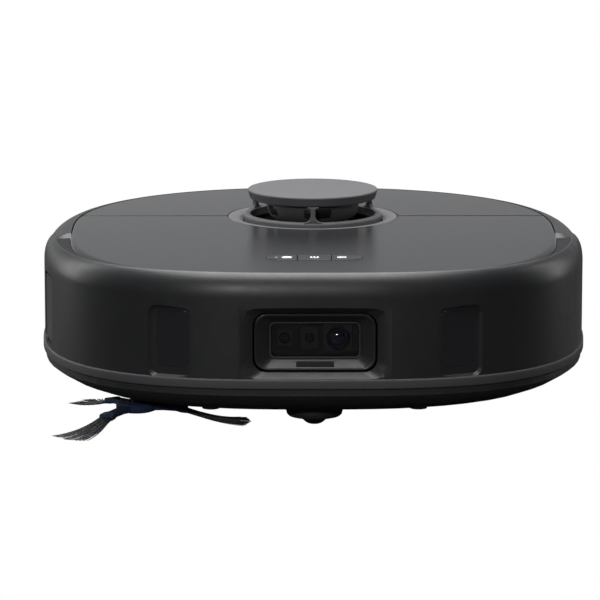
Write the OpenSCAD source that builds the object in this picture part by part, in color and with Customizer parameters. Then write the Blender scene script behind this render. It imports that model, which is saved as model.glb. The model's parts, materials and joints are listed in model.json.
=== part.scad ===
// Robot vacuum with a laser turret, a front camera and twin spinning mops.
// Millimetres, +Z up, front towards -Y. The origin is on the floor, under the middle of the body.

/* [Body] */
// Width of the body across its widest line
body_w = 327; // [320:1:400]
// Distance from the widest line to the front face
front_depth = 183.8; // [180:0.2:225]
// Distance from the widest line to the rear face
rear_depth = 169.4; // [165:0.2:205]
// Squareness of the front half of the outline
front_square = 2.98; // [2.6:0.02:3.6]
// Squareness of the rear half of the outline
rear_square = 2.07; // [2:0.01:2.5]
// Height of the flat underside above the floor
pan_z = 12; // [10:0.5:14]
// Height of the underside pan's rim
rim_z = 31; // [30:0.5:38]
// Height of the moulded lip that runs round the body
lip_h = 5.7; // [4:0.1:7]
// Height of the deck above the floor
deck_z = 96.2; // [95:0.1:118]
// Wall thickness of the outer shells
shell_t = 2.2; // [1.6:0.1:3]
// Wall thickness of the underside pan
pan_t = 2.5; // [2:0.1:3.2]

/* [Deck] */
// Width of the deck panels
lid_w = 299; // [280:0.2:300]
// Distance from the bumper's front face to the deck's front edge
lid_front_inset = 10.5; // [10.5:0.1:16]
// Distance from the rear face to the deck's rear edge
lid_rear_inset = 16.4; // [14:0.1:24]
// Thickness of the deck panels
lid_t = 3.4; // [2.8:0.1:4]
// Line of the lid's hinge, ahead of or behind the origin
hinge_y = 44.7; // [40:0.1:60]

/* [Bumper] */
// How far the bumper moves back when it is pushed
bumper_travel = 2.5; // [1:0.1:2.5]
// Line where the bumper ends and the side shell starts
bumper_end_y = -31; // [-45:1:-25]
// Height of the bumper's rim above the deck
bumper_rise = 1.5; // [1.4:0.1:3]

/* [Camera] */
// Width of the camera frame
camera_w = 69.6; // [60:0.2:84]
// Height of the camera frame
camera_h = 33; // [28:0.2:36]
// Height of the middle of the camera frame
camera_z = 57.8; // [56:0.1:62]

/* [Turret] */
// Distance of the turret's axis behind the origin
turret_y = 45.8; // [42:0.1:60]
// Radius of the turret's cap
cap_r = 40.2; // [36:0.1:42]
// Thickness of the turret's cap
cap_t = 6; // [4:0.1:8]
// Height of the turret's top above the deck
turret_rise = 17.4; // [16:0.1:22]
// Outer radius of the turret's guard ring
guard_r = 42.8; // [42.4:0.1:46]
// Outer radius of the dished trim round the turret
dish_r = 52.5; // [50:0.1:56]
// Radius of the spinning laser head
head_r = 28.5; // [24:0.1:32]
// How far the guard sinks when the cap is pushed
guard_travel = 1.2; // [0.6:0.1:1.4]

/* [Keys] */
// Length of the row of three keys
keys_l = 56.2; // [44:0.2:72]
// Depth of the row of three keys
keys_d = 17.3; // [12:0.1:24]
// Distance from the middle of the row to the seams between the keys
key_seam_x = 9.9; // [8:0.1:12]
// Place of the keys' centre line
keys_y = -109; // [-125:1:-104]
// Travel of each key
key_travel = 0.6; // [0.3:0.1:0.8]

/* [Drive wheels] */
// Radius of a drive wheel over its tread
wheel_r = 35; // [30:0.5:36]
// Width of a drive wheel's tyre
tyre_w = 18; // [12:0.5:19]
// Distance between the middles of the two tyres
track_w = 214; // [212:1:218]
// Radius of a drive wheel's shaft
shaft_r = 4; // [3:0.1:5]

/* [Roller brush] */
// Radius of the roller brush over its fins
roller_r = 21; // [17:0.5:22]
// Length of the roller brush
roller_l = 164; // [130:1:168]
// Place of the roller brush's axis
roller_y = -62; // [-64:0.5:-61]

/* [Side brush] */
// Sideways place of the side brush
side_brush_x = -104; // [-108:1:-92]
// Lengthways place of the side brush
side_brush_y = -114; // [-116:1:-106]
// Distance from the side brush's axis to the bristles' tips
side_brush_reach = 66; // [50:1:66]

/* [Caster] */
// Distance of the caster ahead of the origin
caster_y = 123; // [116:1:126]
// Radius of the caster wheel
caster_r = 10; // [8:0.1:10.5]
// Width of the caster wheel
caster_w = 15; // [10:0.5:16]

/* [Mops] */
// Radius of a mop pad
mop_r = 54; // [44:0.5:55]
// Sideways place of a mop
mop_x = 58; // [57:0.5:62]
// Distance of the mops behind the origin
mop_y = 92; // [88:1:94]
// Height that the mops lift off the floor
mop_lift = 10; // [6:0.5:10]

/* [Fits] */
// Radial clearance of a shaft that turns in a bore
run_fit = 0.05; // [0.02:0.01:0.1]
// Gap between pieces that move past each other
gap = 0.5; // [0.4:0.1:0.6]

/* [Hidden] */
$fn = 64;
STEPS = 80;
EPS = 0.01;
LOW = -50;
HIGH = 200;

front_y = -(front_depth + rear_depth) / 2;
rear_y = (front_depth + rear_depth) / 2;
mid_y = (front_depth - rear_depth) / 2;
half_w = body_w / 2;

// Heights that follow the deck and the rim
lip_z = rim_z + gap;
lip_top = lip_z + lip_h;
bumper_top = deck_z + bumper_rise;
lid_z = deck_z - lid_t;
lid_mid = deck_z - lid_t / 2;
tray_top = lid_z - 0.3;
tray_z = tray_top - 2.5;
floor_z = pan_z + pan_t;
shell_start_y = bumper_end_y + bumper_travel + gap;

// Insets from the body's outline
wall_in = 1;
rim_in = 1.5;
chamfer_in = 38;
inner_in = wall_in + shell_t;
rim_lip_in = 8;
bulkhead_in = inner_in + bumper_travel + 2.9;
bulkhead_t = 2;

// Turret heights
turret_top = deck_z + turret_rise;
cap_z = turret_top - cap_t;
guard_top = deck_z + 2.1;
guard_z = deck_z - 2.7;
guard_in_r = guard_r - 4.3;
dish_in_r = guard_r + 0.8;
base_z = deck_z - 17.2;
base_r = 50;
head_z = base_z + 7;
head_top = cap_z - guard_travel - 0.4;
spindle_r = 4;
pulley_r = 26;
motor_pulley_r = 4;
belt_t = 1;
belt_h = 2.4;
lidar_motor_x = 52;
lidar_motor_y = turret_y - 36;
belt_len = norm([lidar_motor_x, lidar_motor_y - turret_y]);
belt_turn = atan2(lidar_motor_y - turret_y, lidar_motor_x);

// Drive module places, all measured from one wheel's axis
wheel_x = track_w / 2;
arm_x = wheel_x - tyre_w / 2 - 12.5;
arm_w = 16;
arm_y = 33;
arm_dz = 3;
arm_r = 9;
pivot_r = 3;
well_in_x = arm_x - arm_w / 2 - 2;
well_out_x = wheel_x + tyre_w / 2 + 6;
well_front_y = -wheel_r - 3;
well_back_y = arm_y + arm_r + 2;
well_top = 2 * wheel_r + 4;
well_t = 2;

// Roller brush tunnel
tunnel_r = roller_r + 2.5;
mouth_r = tunnel_r - 0.8;
tunnel_t = 2.5;
roller_z = roller_r + 1.5;
tunnel_end = roller_l / 2 + 2;
core_r = 9;
stub_r = 3;

// Dust bin
bin_w = 118;
bin_front_y = -92;
bin_back_y = -14;
battery_h = 30;
pack_gap = 1.6;
// The bin clears both the roller brush's tunnel and the battery pack
bin_z = max(roller_z + tunnel_r + tunnel_t, floor_z + pack_gap + battery_h) + 1.5;
bin_top = tray_top - 3;
bin_t = 2;

// Battery and blower
battery_w = 136;
battery_front_y = roller_y + tunnel_r + tunnel_t + 2;
battery_d = 40;
blower_x = 0;
blower_y = battery_front_y + battery_d + 26;
blower_r = 22;
blower_h = 30;

// Mops and their lifting carriage
pad_t = 6;
plate_t = 4;
plate_r = mop_r - 4;
mop_top = pad_t + plate_t;
cup_z = mop_top + mop_lift + 1;
cup_r = mop_r + 2.6;
mop_shaft_r = 5;
carriage_z = cup_z + pan_t + 1.5;
carriage_h = 18;
tank_z = carriage_z + carriage_h + mop_lift + 2;

// ---------- outlines ----------

// Distance from the centre to a superellipse of half-axes a and b, at angle t
function oval_r(t, a, b, n) = pow(pow(abs(cos(t)) / a, n) + pow(abs(sin(t)) / b, n), -1 / n);

// Closed outline whose front and rear halves have their own depth and squareness
function oval(a, front, rear, n_front, n_rear) = [
    for (i = [0 : STEPS - 1])
        let (
            t = 360 * i / STEPS,
            ahead = sin(t) < 0,
            r = oval_r(t, a, ahead ? front : rear, ahead ? n_front : n_rear)
        )
        [r * cos(t), mid_y + r * sin(t)]
];

// Place of the front wall at a distance x from the middle
function front_wall_y(x, inset) =
    mid_y - (front_depth - inset)
        * pow(1 - pow(x / (body_w / 2 - inset), front_square), 1 / front_square);

// The body's outline, moved in by an inset
function body_line(inset) =
    oval(half_w - inset, front_depth - inset, rear_depth - inset, front_square, rear_square);

// The deck panels' outline, moved in by an inset
function lid_line(inset) =
    oval(lid_w / 2 - inset, front_depth - lid_front_inset - inset,
         rear_depth - lid_rear_inset - inset, front_square + 0.3, rear_square + 0.2);

// Closed solid through a stack of [outline, height] rings
module loft(rings) {
    points = [for (ring = rings) for (p = ring[0]) [p[0], p[1], ring[1]]];
    last = (len(rings) - 1) * STEPS;
    sides = [
        for (k = [0 : len(rings) - 2])
            for (i = [0 : STEPS - 1])
                let (j = (i + 1) % STEPS, low = k * STEPS, high = low + STEPS)
                each [[low + i, high + i, high + j], [low + i, high + j, low + j]]
    ];
    bottom = [[for (i = [0 : STEPS - 1]) i]];
    top = [[for (i = [STEPS - 1 : -1 : 0]) last + i]];
    polyhedron(points = points, faces = concat(bottom, sides, top));
}

// Loft of the body's outline through [inset, height] pairs
module body_loft(profile) {
    loft([for (p = profile) [body_line(p[0]), p[1]]]);
}

// Upright wall that follows the body's outline between two insets
module wall_band(outer, inner, z0, z1) {
    translate([0, 0, z0])
        linear_extrude(z1 - z0)
            difference() {
                polygon(body_line(outer));
                polygon(body_line(inner));
            }
}

// Box from its lowest corner to its highest corner
module span(low, high) {
    translate(low)
        cube(high - low);
}

// Everything ahead of a line across the body
module ahead_of(y) {
    span([-half_w - 60, front_y - 60, LOW], [half_w + 60, y, HIGH]);
}

// Everything behind a line across the body
module behind(y) {
    span([-half_w - 60, y, LOW], [half_w + 60, rear_y + 60, HIGH]);
}

// Shaft or bore along X
module x_rod(r, x0, x1, y, z) {
    translate([x0, y, z])
        rotate([0, 90, 0])
            cylinder(r = r, h = x1 - x0);
}

// Shaft or bore along Z
module z_rod(r, x, y, z0, z1) {
    translate([x, y, z0])
        cylinder(r = r, h = z1 - z0);
}

// Upright plate with rounded corners, facing the front
module window_plate(w, h, r, y0, y1, z) {
    translate([0, y1, z])
        rotate([90, 0, 0])
            linear_extrude(y1 - y0)
                round_rect(w, h, r);
}

module round_rect(w, h, r) {
    square([w - 2 * r, h], center = true);
    square([w, h - 2 * r], center = true);
    for (x = [-1, 1], y = [-1, 1])
        translate([x * (w / 2 - r), y * (h / 2 - r)])
            circle(r = r);
}

// ---------- underside pan ----------

// Rising underside from the flat middle to the rim, as [inset, height]
pan_profile = [
    [chamfer_in, pan_z],
    [chamfer_in * 0.75, pan_z + 2.2],
    [chamfer_in * 0.58, pan_z + 4],
    [chamfer_in * 0.33, pan_z + 8],
    [chamfer_in * 0.16, pan_z + 12],
    [rim_in, pan_z + 15.5],
    [rim_in, rim_z]
];

// Places of the case screws
screw_places = [
    [-118, -62], [118, -62], [-44, -112], [44, -112],
    [-117, 60], [117, 60], [0, mop_y - 28], [0, mop_y + 42]
];
screw_head_r = 3;
screw_r = 1.5;
screw_l = 12;

// Places of the cliff sensors, as [x, y]
cliff_places = [[-60, -140], [60, -140], [-132, -48], [132, -48]];
cliff_r = 5;

module pan_skin() {
    difference() {
        body_loft(pan_profile);
        body_loft([
            for (p = pan_profile)
                [p[0] + pan_t * (1 - 0.8 * p[0] / chamfer_in), p[1] + pan_t]
        ]);
    }
}

module wheel_well(side) {
    mirror([side < 0 ? 1 : 0, 0, 0])
        difference() {
            span([well_in_x - well_t, well_front_y - well_t, floor_z - 1],
                 [well_out_x + well_t, well_back_y + well_t, well_top + well_t]);
            span([well_in_x, well_front_y, LOW], [well_out_x, well_back_y, well_top]);
        }
}

// Rib between the drive arm and the wheel that carries the outer end of the arm's pivot
module pivot_rib(side) {
    mirror([side < 0 ? 1 : 0, 0, 0])
        difference() {
            span([arm_x + arm_w / 2 + 1, arm_y - 5, wheel_r + arm_dz - 5],
                 [arm_x + arm_w / 2 + 3, well_back_y + 1, wheel_r + arm_dz + 5]);
            x_rod(pivot_r + run_fit, arm_x, wheel_x, arm_y, wheel_r + arm_dz);
        }
}

module pan_cups() {
    intersection() {
        for (side = [-1, 1])
            z_rod(cup_r + pan_t, side * mop_x, mop_y, pan_z, cup_z + pan_t);
        body_loft(pan_profile);
    }
}

module brush_tunnel() {
    difference() {
        intersection() {
            span([-body_w, -body_w, pan_z], [body_w, body_w, HIGH]);
            union() {
                x_rod(tunnel_r + tunnel_t, -tunnel_end - tunnel_t, tunnel_end + tunnel_t,
                      roller_y, roller_z);
                span([-tunnel_end - tunnel_t, roller_y - mouth_r - tunnel_t, pan_z],
                     [tunnel_end + tunnel_t, roller_y + mouth_r + tunnel_t, roller_z]);
            }
        }
        x_rod(tunnel_r, -tunnel_end, tunnel_end, roller_y, roller_z);
        span([-tunnel_end, roller_y - mouth_r, LOW], [tunnel_end, roller_y + mouth_r, roller_z]);
    }
}

module chassis_pan() {
    color("#161718") {
        for (side = [-1, 1])
            pivot_rib(side);
        difference() {
            union() {
                pan_skin();
                pan_cups();
                brush_tunnel();
                for (side = [-1, 1])
                    wheel_well(side);
                intersection() {
                    wall_band(bulkhead_in, bulkhead_in + bulkhead_t, rim_z - 4, tray_z - EPS);
                    ahead_of(shell_start_y - 1);
                }
                intersection() {
                    wall_band(rim_in + pan_t - 0.3, bulkhead_in + 1, rim_z - 4, rim_z - 1.5);
                    ahead_of(shell_start_y - 1);
                }
                for (p = screw_places)
                    z_rod(screw_head_r + 2, p[0], p[1], pan_z + 1.2, floor_z + screw_l);
            }
            // Mop recesses and the holes of their shafts
            for (side = [-1, 1]) {
                z_rod(cup_r, side * mop_x, mop_y, LOW, cup_z);
                z_rod(mop_shaft_r + 2, side * mop_x, mop_y, LOW, cup_z + pan_t + 1);
            }
            // Wheel wells open downwards
            for (side = [-1, 1])
                mirror([side < 0 ? 1 : 0, 0, 0]) {
                    span([well_in_x, well_front_y, LOW], [well_out_x, well_back_y, well_top]);
                    x_rod(pivot_r + run_fit, well_in_x - well_t - 1, well_in_x + 1,
                          arm_y, wheel_r + arm_dz);
                }
            // Roller brush opening, its bearing and its drive
            span([-tunnel_end, roller_y - mouth_r, LOW], [tunnel_end, roller_y + mouth_r, floor_z]);
            x_rod(stub_r + run_fit, -tunnel_end - tunnel_t - 1, tunnel_end + tunnel_t + 1,
                  roller_y, roller_z);
            span([-30, roller_y - 12, roller_z + tunnel_r - 4], [30, roller_y + 12, bin_z + 1]);
            // Caster, side brush and battery hatch
            z_rod(caster_house_r, 0, -caster_y, LOW, floor_z + 10);
            z_rod(stub_r + 2, side_brush_x, side_brush_y, LOW, floor_z + 10);
            span([-battery_w / 2 - 4, battery_front_y - 1, LOW],
                 [battery_w / 2 + 4, battery_front_y + battery_d + 3, floor_z + 1]);
            // Window for the camera and slots for the bumper's prongs
            span([-camera_w / 2 - 1, front_y, camera_z - camera_h / 2 - 1],
                 [camera_w / 2 + 1, front_y + 40, camera_z + camera_h / 2 + 1]);
            for (side = [-1, 1])
                span([side * prong_x - 4, front_y, prong_z - 4],
                     [side * prong_x + 4, front_y + 40, prong_z + 4]);
            for (p = screw_places) {
                z_rod(screw_head_r + 0.2, p[0], p[1], LOW, floor_z + 4);
                z_rod(screw_r + 0.1, p[0], p[1], LOW, floor_z + screw_l + 1);
            }
            for (p = cliff_places)
                z_rod(cliff_r + 0.1, p[0], p[1], LOW, floor_z + 12);
        }
    }
}

module case_screws() {
    color("#8a8d90")
        for (p = screw_places)
            difference() {
                union() {
                    z_rod(screw_head_r, p[0], p[1], floor_z + 2.2, floor_z + 4);
                    z_rod(screw_r, p[0], p[1], floor_z + 4, floor_z + screw_l - 1);
                }
                translate([p[0], p[1], floor_z + 2.2]) {
                    cube([0.8, 3.6, 1.6], center = true);
                    cube([3.6, 0.8, 1.6], center = true);
                }
            }
}

module cliff_sensors() {
    color("#241a2a")
        for (p = cliff_places) {
            z_rod(cliff_r, p[0], p[1], cliff_z(p) + 0.4, floor_z + 9);
        }
}

// Height of the underside at a cliff sensor: the outer pair sit on the rising skin
function cliff_z(p) = abs(p[0]) > 100 ? pan_z + 3 : pan_z + 1;

// ---------- outer shells ----------

shoulder = [[0, -16.2], [0.6, -12.2], [2.2, -8.2], [4.8, -4.8], [8.2, -2.2], [11.8, -0.6], [14.6, 0]];

module side_shell() {
    outer = concat(
        [[0, rim_z + 0.3], [0, lip_top], [wall_in, lip_top + 0.1]],
        [for (p = shoulder) [wall_in + p[0], deck_z + p[1]]]
    );
    inner = concat(
        [[inner_in, rim_z - 1], [inner_in, deck_z - 17]],
        [for (p = shoulder) if (p[0] > 0) [inner_in + p[0], deck_z + p[1] - shell_t]]
    );
    color("#2b2c2e")
        difference() {
            body_loft(outer);
            body_loft(inner);
            translate([0, 0, tray_z - 2])
                linear_extrude(40)
                    polygon(lid_line(-0.6));
            ahead_of(shell_start_y);
            contact_boxes(0.3);
            grille_box(0.3);
        }
}

module bumper_shell() {
    rise = bumper_top;
    outer = [
        [wall_in, lip_top], [wall_in, rise - 13.7], [1.5, rise - 9.5], [2.6, rise - 6.1],
        [4.2, rise - 3.1], [5.6, rise - 1.1], [6.6, rise]
    ];
    inner = [
        [inner_in, lip_top - 1], [inner_in, rise - 13.7], [3.3, rise - 9], [4.1, rise - 5.6],
        [5.5, rise - 2.8], [6.4, rise - 1.25], [rim_lip_in, rise - 1.2], [rim_lip_in, rise + 1]
    ];
    color("#1c1d1e")
        difference() {
            union() {
                intersection() {
                    difference() {
                        body_loft(outer);
                        body_loft(inner);
                    }
                    ahead_of(bumper_end_y);
                }
                camera_surround();
                for (side = [-1, 1])
                    prong(side);
            }
            camera_opening();
            window_boxes(0.2);
        }
}

// Block behind the bumper's skin that the camera's bevelled opening is cut from
module camera_surround() {
    span([-camera_w / 2 - 8, front_y + 2, max(camera_z - camera_h / 2 - 5, lip_top)],
         [camera_w / 2 + 8, front_y + 5.6, camera_z + camera_h / 2 + 5]);
}

module camera_opening() {
    window_plate(camera_w + 1.6, camera_h + 1.6, 8, front_y - 5, front_y + 20, camera_z);
    hull() {
        window_plate(camera_w + 1.6, camera_h + 1.6, 8, front_y + 5, front_y + 5.1, camera_z);
        window_plate(camera_w + 15, camera_h + 8, 9, front_y, front_y + 0.1, camera_z);
    }
}

// Prongs that push the bumper switches
prong_x = 62;
prong_z = 50;
prong_l = bulkhead_in + bulkhead_t + 4.5;
switch_half = 10;
// The switches stand behind the prongs and clear of the curved bulkhead
switch_y = max(front_y + prong_l + bumper_travel + 0.6,
               front_wall_y(prong_x + switch_half, bulkhead_in + bulkhead_t) + 0.5);

module prong(side) {
    span([side * prong_x - 3, front_y + inner_in + 2.8, prong_z - 3],
         [side * prong_x + 3, front_y + prong_l, prong_z + 3]);
}

module bumper_strip() {
    color("#2a2b2d")
        intersection() {
            wall_band(0, inner_in, lip_z, lip_top);
            ahead_of(bumper_end_y);
        }
}

// Boxes that cut the sensor windows out of the bumper's wall
module window_boxes(play) {
    for (side = [-1, 1])
        span([side * 80.6 - 9.7 - play, front_y - 5, 42.9 - play],
             [side * 80.6 + 9.7 + play, front_y + 40, 75.9 + play]);
    span([-half_w - 5, -86 - play, 42 - play], [-half_w + 25, -60 + play, 79 + play]);
}

module bumper_windows() {
    color("#0c0c0e")
        intersection() {
            wall_band(1.9, inner_in, 40, 82);
            window_boxes(0);
        }
}

module bumper_switches() {
    color("#3a3f46")
        for (side = [-1, 1])
            difference() {
                span([side * prong_x - switch_half, switch_y, prong_z - 5],
                     [side * prong_x + switch_half, switch_y + 6.4, prong_z + 5]);
                for (x = [-1, 1])
                    translate([side * prong_x + x * 6, front_y, prong_z])
                        rotate([-90, 0, 0])
                            cylinder(r = 1.1, h = 60);
            }
}

// Boxes that cut the charging contacts out of the rear wall
module contact_boxes(play) {
    for (side = [-1, 1])
        span([side * 27 - 12 - play, rear_y - 30, 44 - play],
             [side * 27 + 12 + play, rear_y + 5, 54 + play]);
}

module charging_contacts() {
    color("#b9a36a")
        intersection() {
            wall_band(wall_in, wall_in + 1.6, 40, 60);
            contact_boxes(0);
        }
}

// Box that cuts the exhaust grille out of the rear wall
module grille_box(play) {
    span([56 - play, mid_y + 60, 46 - play], [112 + play, rear_y + 5, 66 + play]);
}

module exhaust_grille() {
    color("#151617")
        difference() {
            intersection() {
                wall_band(wall_in + 0.2, wall_in + 2, 40, 70);
                grille_box(0);
            }
            for (i = [0 : 7])
                span([59 + i * 6.6, mid_y + 60, 48.5], [62.4 + i * 6.6, rear_y + 5, 63.5]);
        }
}

// ---------- deck ----------

module deck_blank() {
    loft([
        [lid_line(0), lid_z], [lid_line(0), deck_z - 1], [lid_line(0.5), deck_z - 0.3],
        [lid_line(1.4), deck_z]
    ]);
}

module front_lid() {
    barrel_r = lid_t / 2;
    color("#3a3b3d")
        difference() {
            union() {
                intersection() {
                    deck_blank();
                    ahead_of(hinge_y);
                }
                x_rod(barrel_r, -lid_w / 2 + 2.5, lid_w / 2 - 2.5, hinge_y, lid_mid);
            }
            z_rod(dish_r + 0.3, 0, turret_y, LOW, HIGH);
            translate([0, keys_y, LOW])
                linear_extrude(HIGH)
                    round_rect(keys_l + 0.7, keys_d + 0.7, keys_d / 2 + 0.3);
        }
}

module rear_cover() {
    color("#3a3b3d")
        difference() {
            intersection() {
                deck_blank();
                behind(hinge_y + lid_t / 2 + 0.3);
            }
            z_rod(dish_r + 0.3, 0, turret_y, LOW, HIGH);
        }
}

module inner_tray() {
    color("#1d1e20")
        difference() {
            translate([0, 0, tray_z])
                linear_extrude(tray_top - tray_z)
                    polygon(lid_line(0.4));
            z_rod(base_r + 0.3, 0, turret_y, LOW, HIGH);
            span([-bin_w / 2 - 1, bin_front_y - 1, LOW], [bin_w / 2 + 1, bin_back_y + 1, HIGH]);
            for (i = [-1 : 1])
                translate([i * keys_l / 3, keys_y, LOW])
                    cube([6, 6, 2 * HIGH], center = true);
        }
}

module turret_trim() {
    color("#242527")
        translate([0, turret_y, 0])
            rotate_extrude()
                polygon([
                    [dish_in_r, lid_z - 0.3], [dish_r, lid_z - 0.3], [dish_r, deck_z],
                    [dish_r - 0.8, deck_z], [dish_in_r + 1.4, deck_z - 1.8],
                    [dish_in_r, deck_z - 1.8]
                ]);
}

// ---------- keys ----------

key_top = deck_z + 0.3;
key_gap = 0.35;
board_top = tray_z - 4;

// One of the three keys, cut from the row's rounded outline, on a stem over its switch
module key(i) {
    x0 = (i == 0) ? -key_seam_x : min(i * key_seam_x, i * keys_l);
    x1 = (i == 0) ? key_seam_x : max(i * key_seam_x, i * keys_l);
    intersection() {
        translate([0, keys_y, lid_z + 0.8])
            linear_extrude(key_top - lid_z - 0.8)
                round_rect(keys_l, keys_d, keys_d / 2 - 0.05);
        span([x0 + key_gap / 2, keys_y - keys_d, 0],
             [x1 - key_gap / 2, keys_y + keys_d, HIGH]);
    }
    z_rod(2, i * keys_l / 3, keys_y, board_top + 1.6 + key_travel + 0.3, lid_z + 1);
}

module dock_key() {
    color("#2e2f31") key(-1);
}

module power_key() {
    color("#2e2f31") key(0);
}

module spot_key() {
    color("#2e2f31") key(1);
}

module key_board() {
    color("#14502f")
        span([-34, keys_y - 9, board_top - 1.6], [34, keys_y + 9, board_top]);
    color("#222222")
        for (i = [-1 : 1]) {
            translate([i * keys_l / 3, keys_y, board_top + 0.5])
                cube([6, 6, 1], center = true);
            z_rod(1.5, i * keys_l / 3, keys_y, board_top + 0.9, board_top + 1.6);
        }
}

// ---------- camera ----------

glass_w = 50.8;
glass_h = 19.7;
frame_y = front_y + 6.6;

module camera_frame() {
    color("#101112")
        difference() {
            window_plate(camera_w, camera_h, 7.5, frame_y, frame_y + 18, camera_z);
            hull() {
                window_plate(camera_w - 3, camera_h - 3, 6.5, frame_y - 1, frame_y, camera_z);
                window_plate(glass_w + 2, glass_h + 2, 3, frame_y + 4, frame_y + 4.1, camera_z + 0.6);
            }
            window_plate(glass_w + 0.6, glass_h + 0.6, 2.8, frame_y + 3, frame_y + 16,
                         camera_z + 0.6);
        }
}

module camera_glass() {
    color("#0a0b0d")
        window_plate(glass_w, glass_h, 2.5, frame_y + 4.2, frame_y + 5.4, camera_z + 0.6);
}

// Lens barrel that looks forwards
module lens(x, r, y0, y1) {
    translate([x, y0, camera_z + 0.9])
        rotate([-90, 0, 0])
            cylinder(r = r, h = y1 - y0);
}

module camera_sensors() {
    color("#1a1b1e")
        difference() {
            union() {
                window_plate(glass_w - 0.6, glass_h - 0.6, 2.4, frame_y + 9, frame_y + 15,
                             camera_z + 0.6);
                lens(13.1, 6.8, frame_y + 5.9, frame_y + 10);
                lens(-3, 2, frame_y + 7.5, frame_y + 10);
                translate([-17.3, 0, 0])
                    window_plate(8.7, 10, 1, frame_y + 7.5, frame_y + 10, camera_z + 0.9);
            }
            lens(13.1, 4.6, frame_y + 5, frame_y + 7.4);
            lens(-17.3, 2.3, frame_y + 5, frame_y + 8.6);
        }
}

// ---------- laser turret ----------

post_w = 3;

module guard_ring() {
    color("#222325")
        translate([0, turret_y, 0]) {
            rotate_extrude()
                polygon([
                    [guard_in_r, guard_z], [guard_r, guard_z], [guard_r, guard_top - 1.6],
                    [guard_r - 0.5, guard_top - 0.5], [guard_r - 1.6, guard_top],
                    [guard_in_r + 1.2, guard_top], [guard_in_r, guard_top - 1.2]
                ]);
            for (i = [0 : 2])
                rotate([0, 0, -90 + 120 * i])
                    span([guard_in_r - 1.5, -post_w / 2, guard_z], [guard_in_r + 1.2, post_w / 2, cap_z]);
        }
}

module guard_cap() {
    color("#3b3c3e")
        translate([0, turret_y, 0])
            rotate_extrude()
                polygon([
                    [0, cap_z], [cap_r - 1.6, cap_z], [cap_r - 0.4, cap_z + 1], [cap_r, cap_z + 2],
                    [cap_r, turret_top - 1], [cap_r - 0.3, turret_top - 0.3],
                    [cap_r - 1, turret_top], [0, turret_top]
                ]);
}

module lidar_base() {
    rim_t = 3.5;
    color("#1b1c1d")
        difference() {
            translate([0, turret_y, base_z])
                rotate_extrude()
                    polygon([
                        [spindle_r + run_fit, 0], [base_r, 0], [base_r, guard_z - 1.6 - base_z],
                        [base_r - rim_t, guard_z - 1.6 - base_z], [base_r - rim_t, 3],
                        [spindle_r + 6, 3], [spindle_r + 6, head_z - 0.4 - base_z],
                        [spindle_r + run_fit, head_z - 0.4 - base_z]
                    ]);
            // Mouth that the belt leaves by, towards its motor
            translate([0, turret_y, 0])
                rotate([0, 0, belt_turn])
                    span([30, -pulley_r, head_z - 1], [base_r + 5, pulley_r, head_z + 4]);
        }
}

window_angles = [-152, -96, -76, 20, 80, 150];
window_arc = [16, 8, 18, 18, 18, 18];

// Blocks that cut the laser head's windows, as wide as each window's arc
module head_windows(play) {
    z0 = deck_z + 4.6;
    z1 = head_top - 2.4;
    for (i = [0 : len(window_angles) - 1])
        rotate([0, 0, window_angles[i]]) {
            half = head_r * sin(window_arc[i] / 2);
            span([head_r - 6, -half - play, z0 - play], [head_r + 3, half + play, z1 + play]);
        }
}

module lidar_head() {
    color("#2c2d2f")
        translate([0, turret_y, 0])
            difference() {
                rotate_extrude()
                    polygon([
                        [0, base_z], [spindle_r, base_z], [spindle_r, head_z], [pulley_r, head_z],
                        [pulley_r, head_z + 3], [pulley_r + 2, head_z + 3], [pulley_r + 2, head_z + 4],
                        [pulley_r - 3, head_z + 6], [head_r - 4, deck_z - 1], [head_r - 1.4, deck_z + 3],
                        [head_r, deck_z + 7], [head_r, head_top], [0, head_top]
                    ]);
                rotate_extrude()
                    polygon([
                        [0, head_z + 7], [head_r - 8, head_z + 7], [head_r - 6, deck_z + 1],
                        [head_r - 2.2, deck_z + 4], [head_r - 2.2, head_top - 1.4], [0, head_top - 1.4]
                    ]);
                head_windows(0.1);
            }
}

module lidar_windows() {
    color("#08080a")
        translate([0, turret_y, 0])
            intersection() {
                rotate_extrude()
                    polygon([
                        [head_r - 3, deck_z + 3.6], [head_r - 1.8, deck_z + 3.6],
                        [head_r - 0.6, deck_z + 7.2], [head_r - 0.6, head_top - 1],
                        [head_r - 1.8, head_top - 1], [head_r - 1.8, deck_z + 7.2]
                    ]);
                head_windows(0);
            }
}

module lidar_motor() {
    color("#6d7074")
        difference() {
            union() {
                z_rod(11, lidar_motor_x, lidar_motor_y, head_z - 17, head_z - 2);
                z_rod(12.5, lidar_motor_x, lidar_motor_y, head_z - 3.5, head_z - 2);
            }
            z_rod(1.5 + run_fit, lidar_motor_x, lidar_motor_y, head_z - 12, head_z);
        }
}

module lidar_pulley() {
    color("#c9c9c4") {
        z_rod(1.5, lidar_motor_x, lidar_motor_y, head_z - 11, head_z + 0.2);
        z_rod(motor_pulley_r, lidar_motor_x, lidar_motor_y, head_z, head_z + 3);
        z_rod(motor_pulley_r + 1.6, lidar_motor_x, lidar_motor_y, head_z - 0.8, head_z);
    }
}

// Outline of the belt round both pulleys, at a distance from their faces
module belt_line(out) {
    big = pulley_r + out;
    small = motor_pulley_r + out;
    tilt = acos((big - small) / belt_len);
    circle(r = big);
    translate([belt_len, 0])
        circle(r = small);
    polygon([
        [big * cos(tilt), big * sin(tilt)],
        [big * cos(tilt), -big * sin(tilt)],
        [belt_len + small * cos(tilt), -small * sin(tilt)],
        [belt_len + small * cos(tilt), small * sin(tilt)]
    ]);
}

module lidar_belt() {
    color("#101010")
        translate([0, turret_y, head_z + 0.3])
            rotate([0, 0, belt_turn])
                linear_extrude(belt_h)
                    difference() {
                        belt_line(run_fit + belt_t);
                        belt_line(run_fit);
                    }
}

// ---------- dust path ----------

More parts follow.
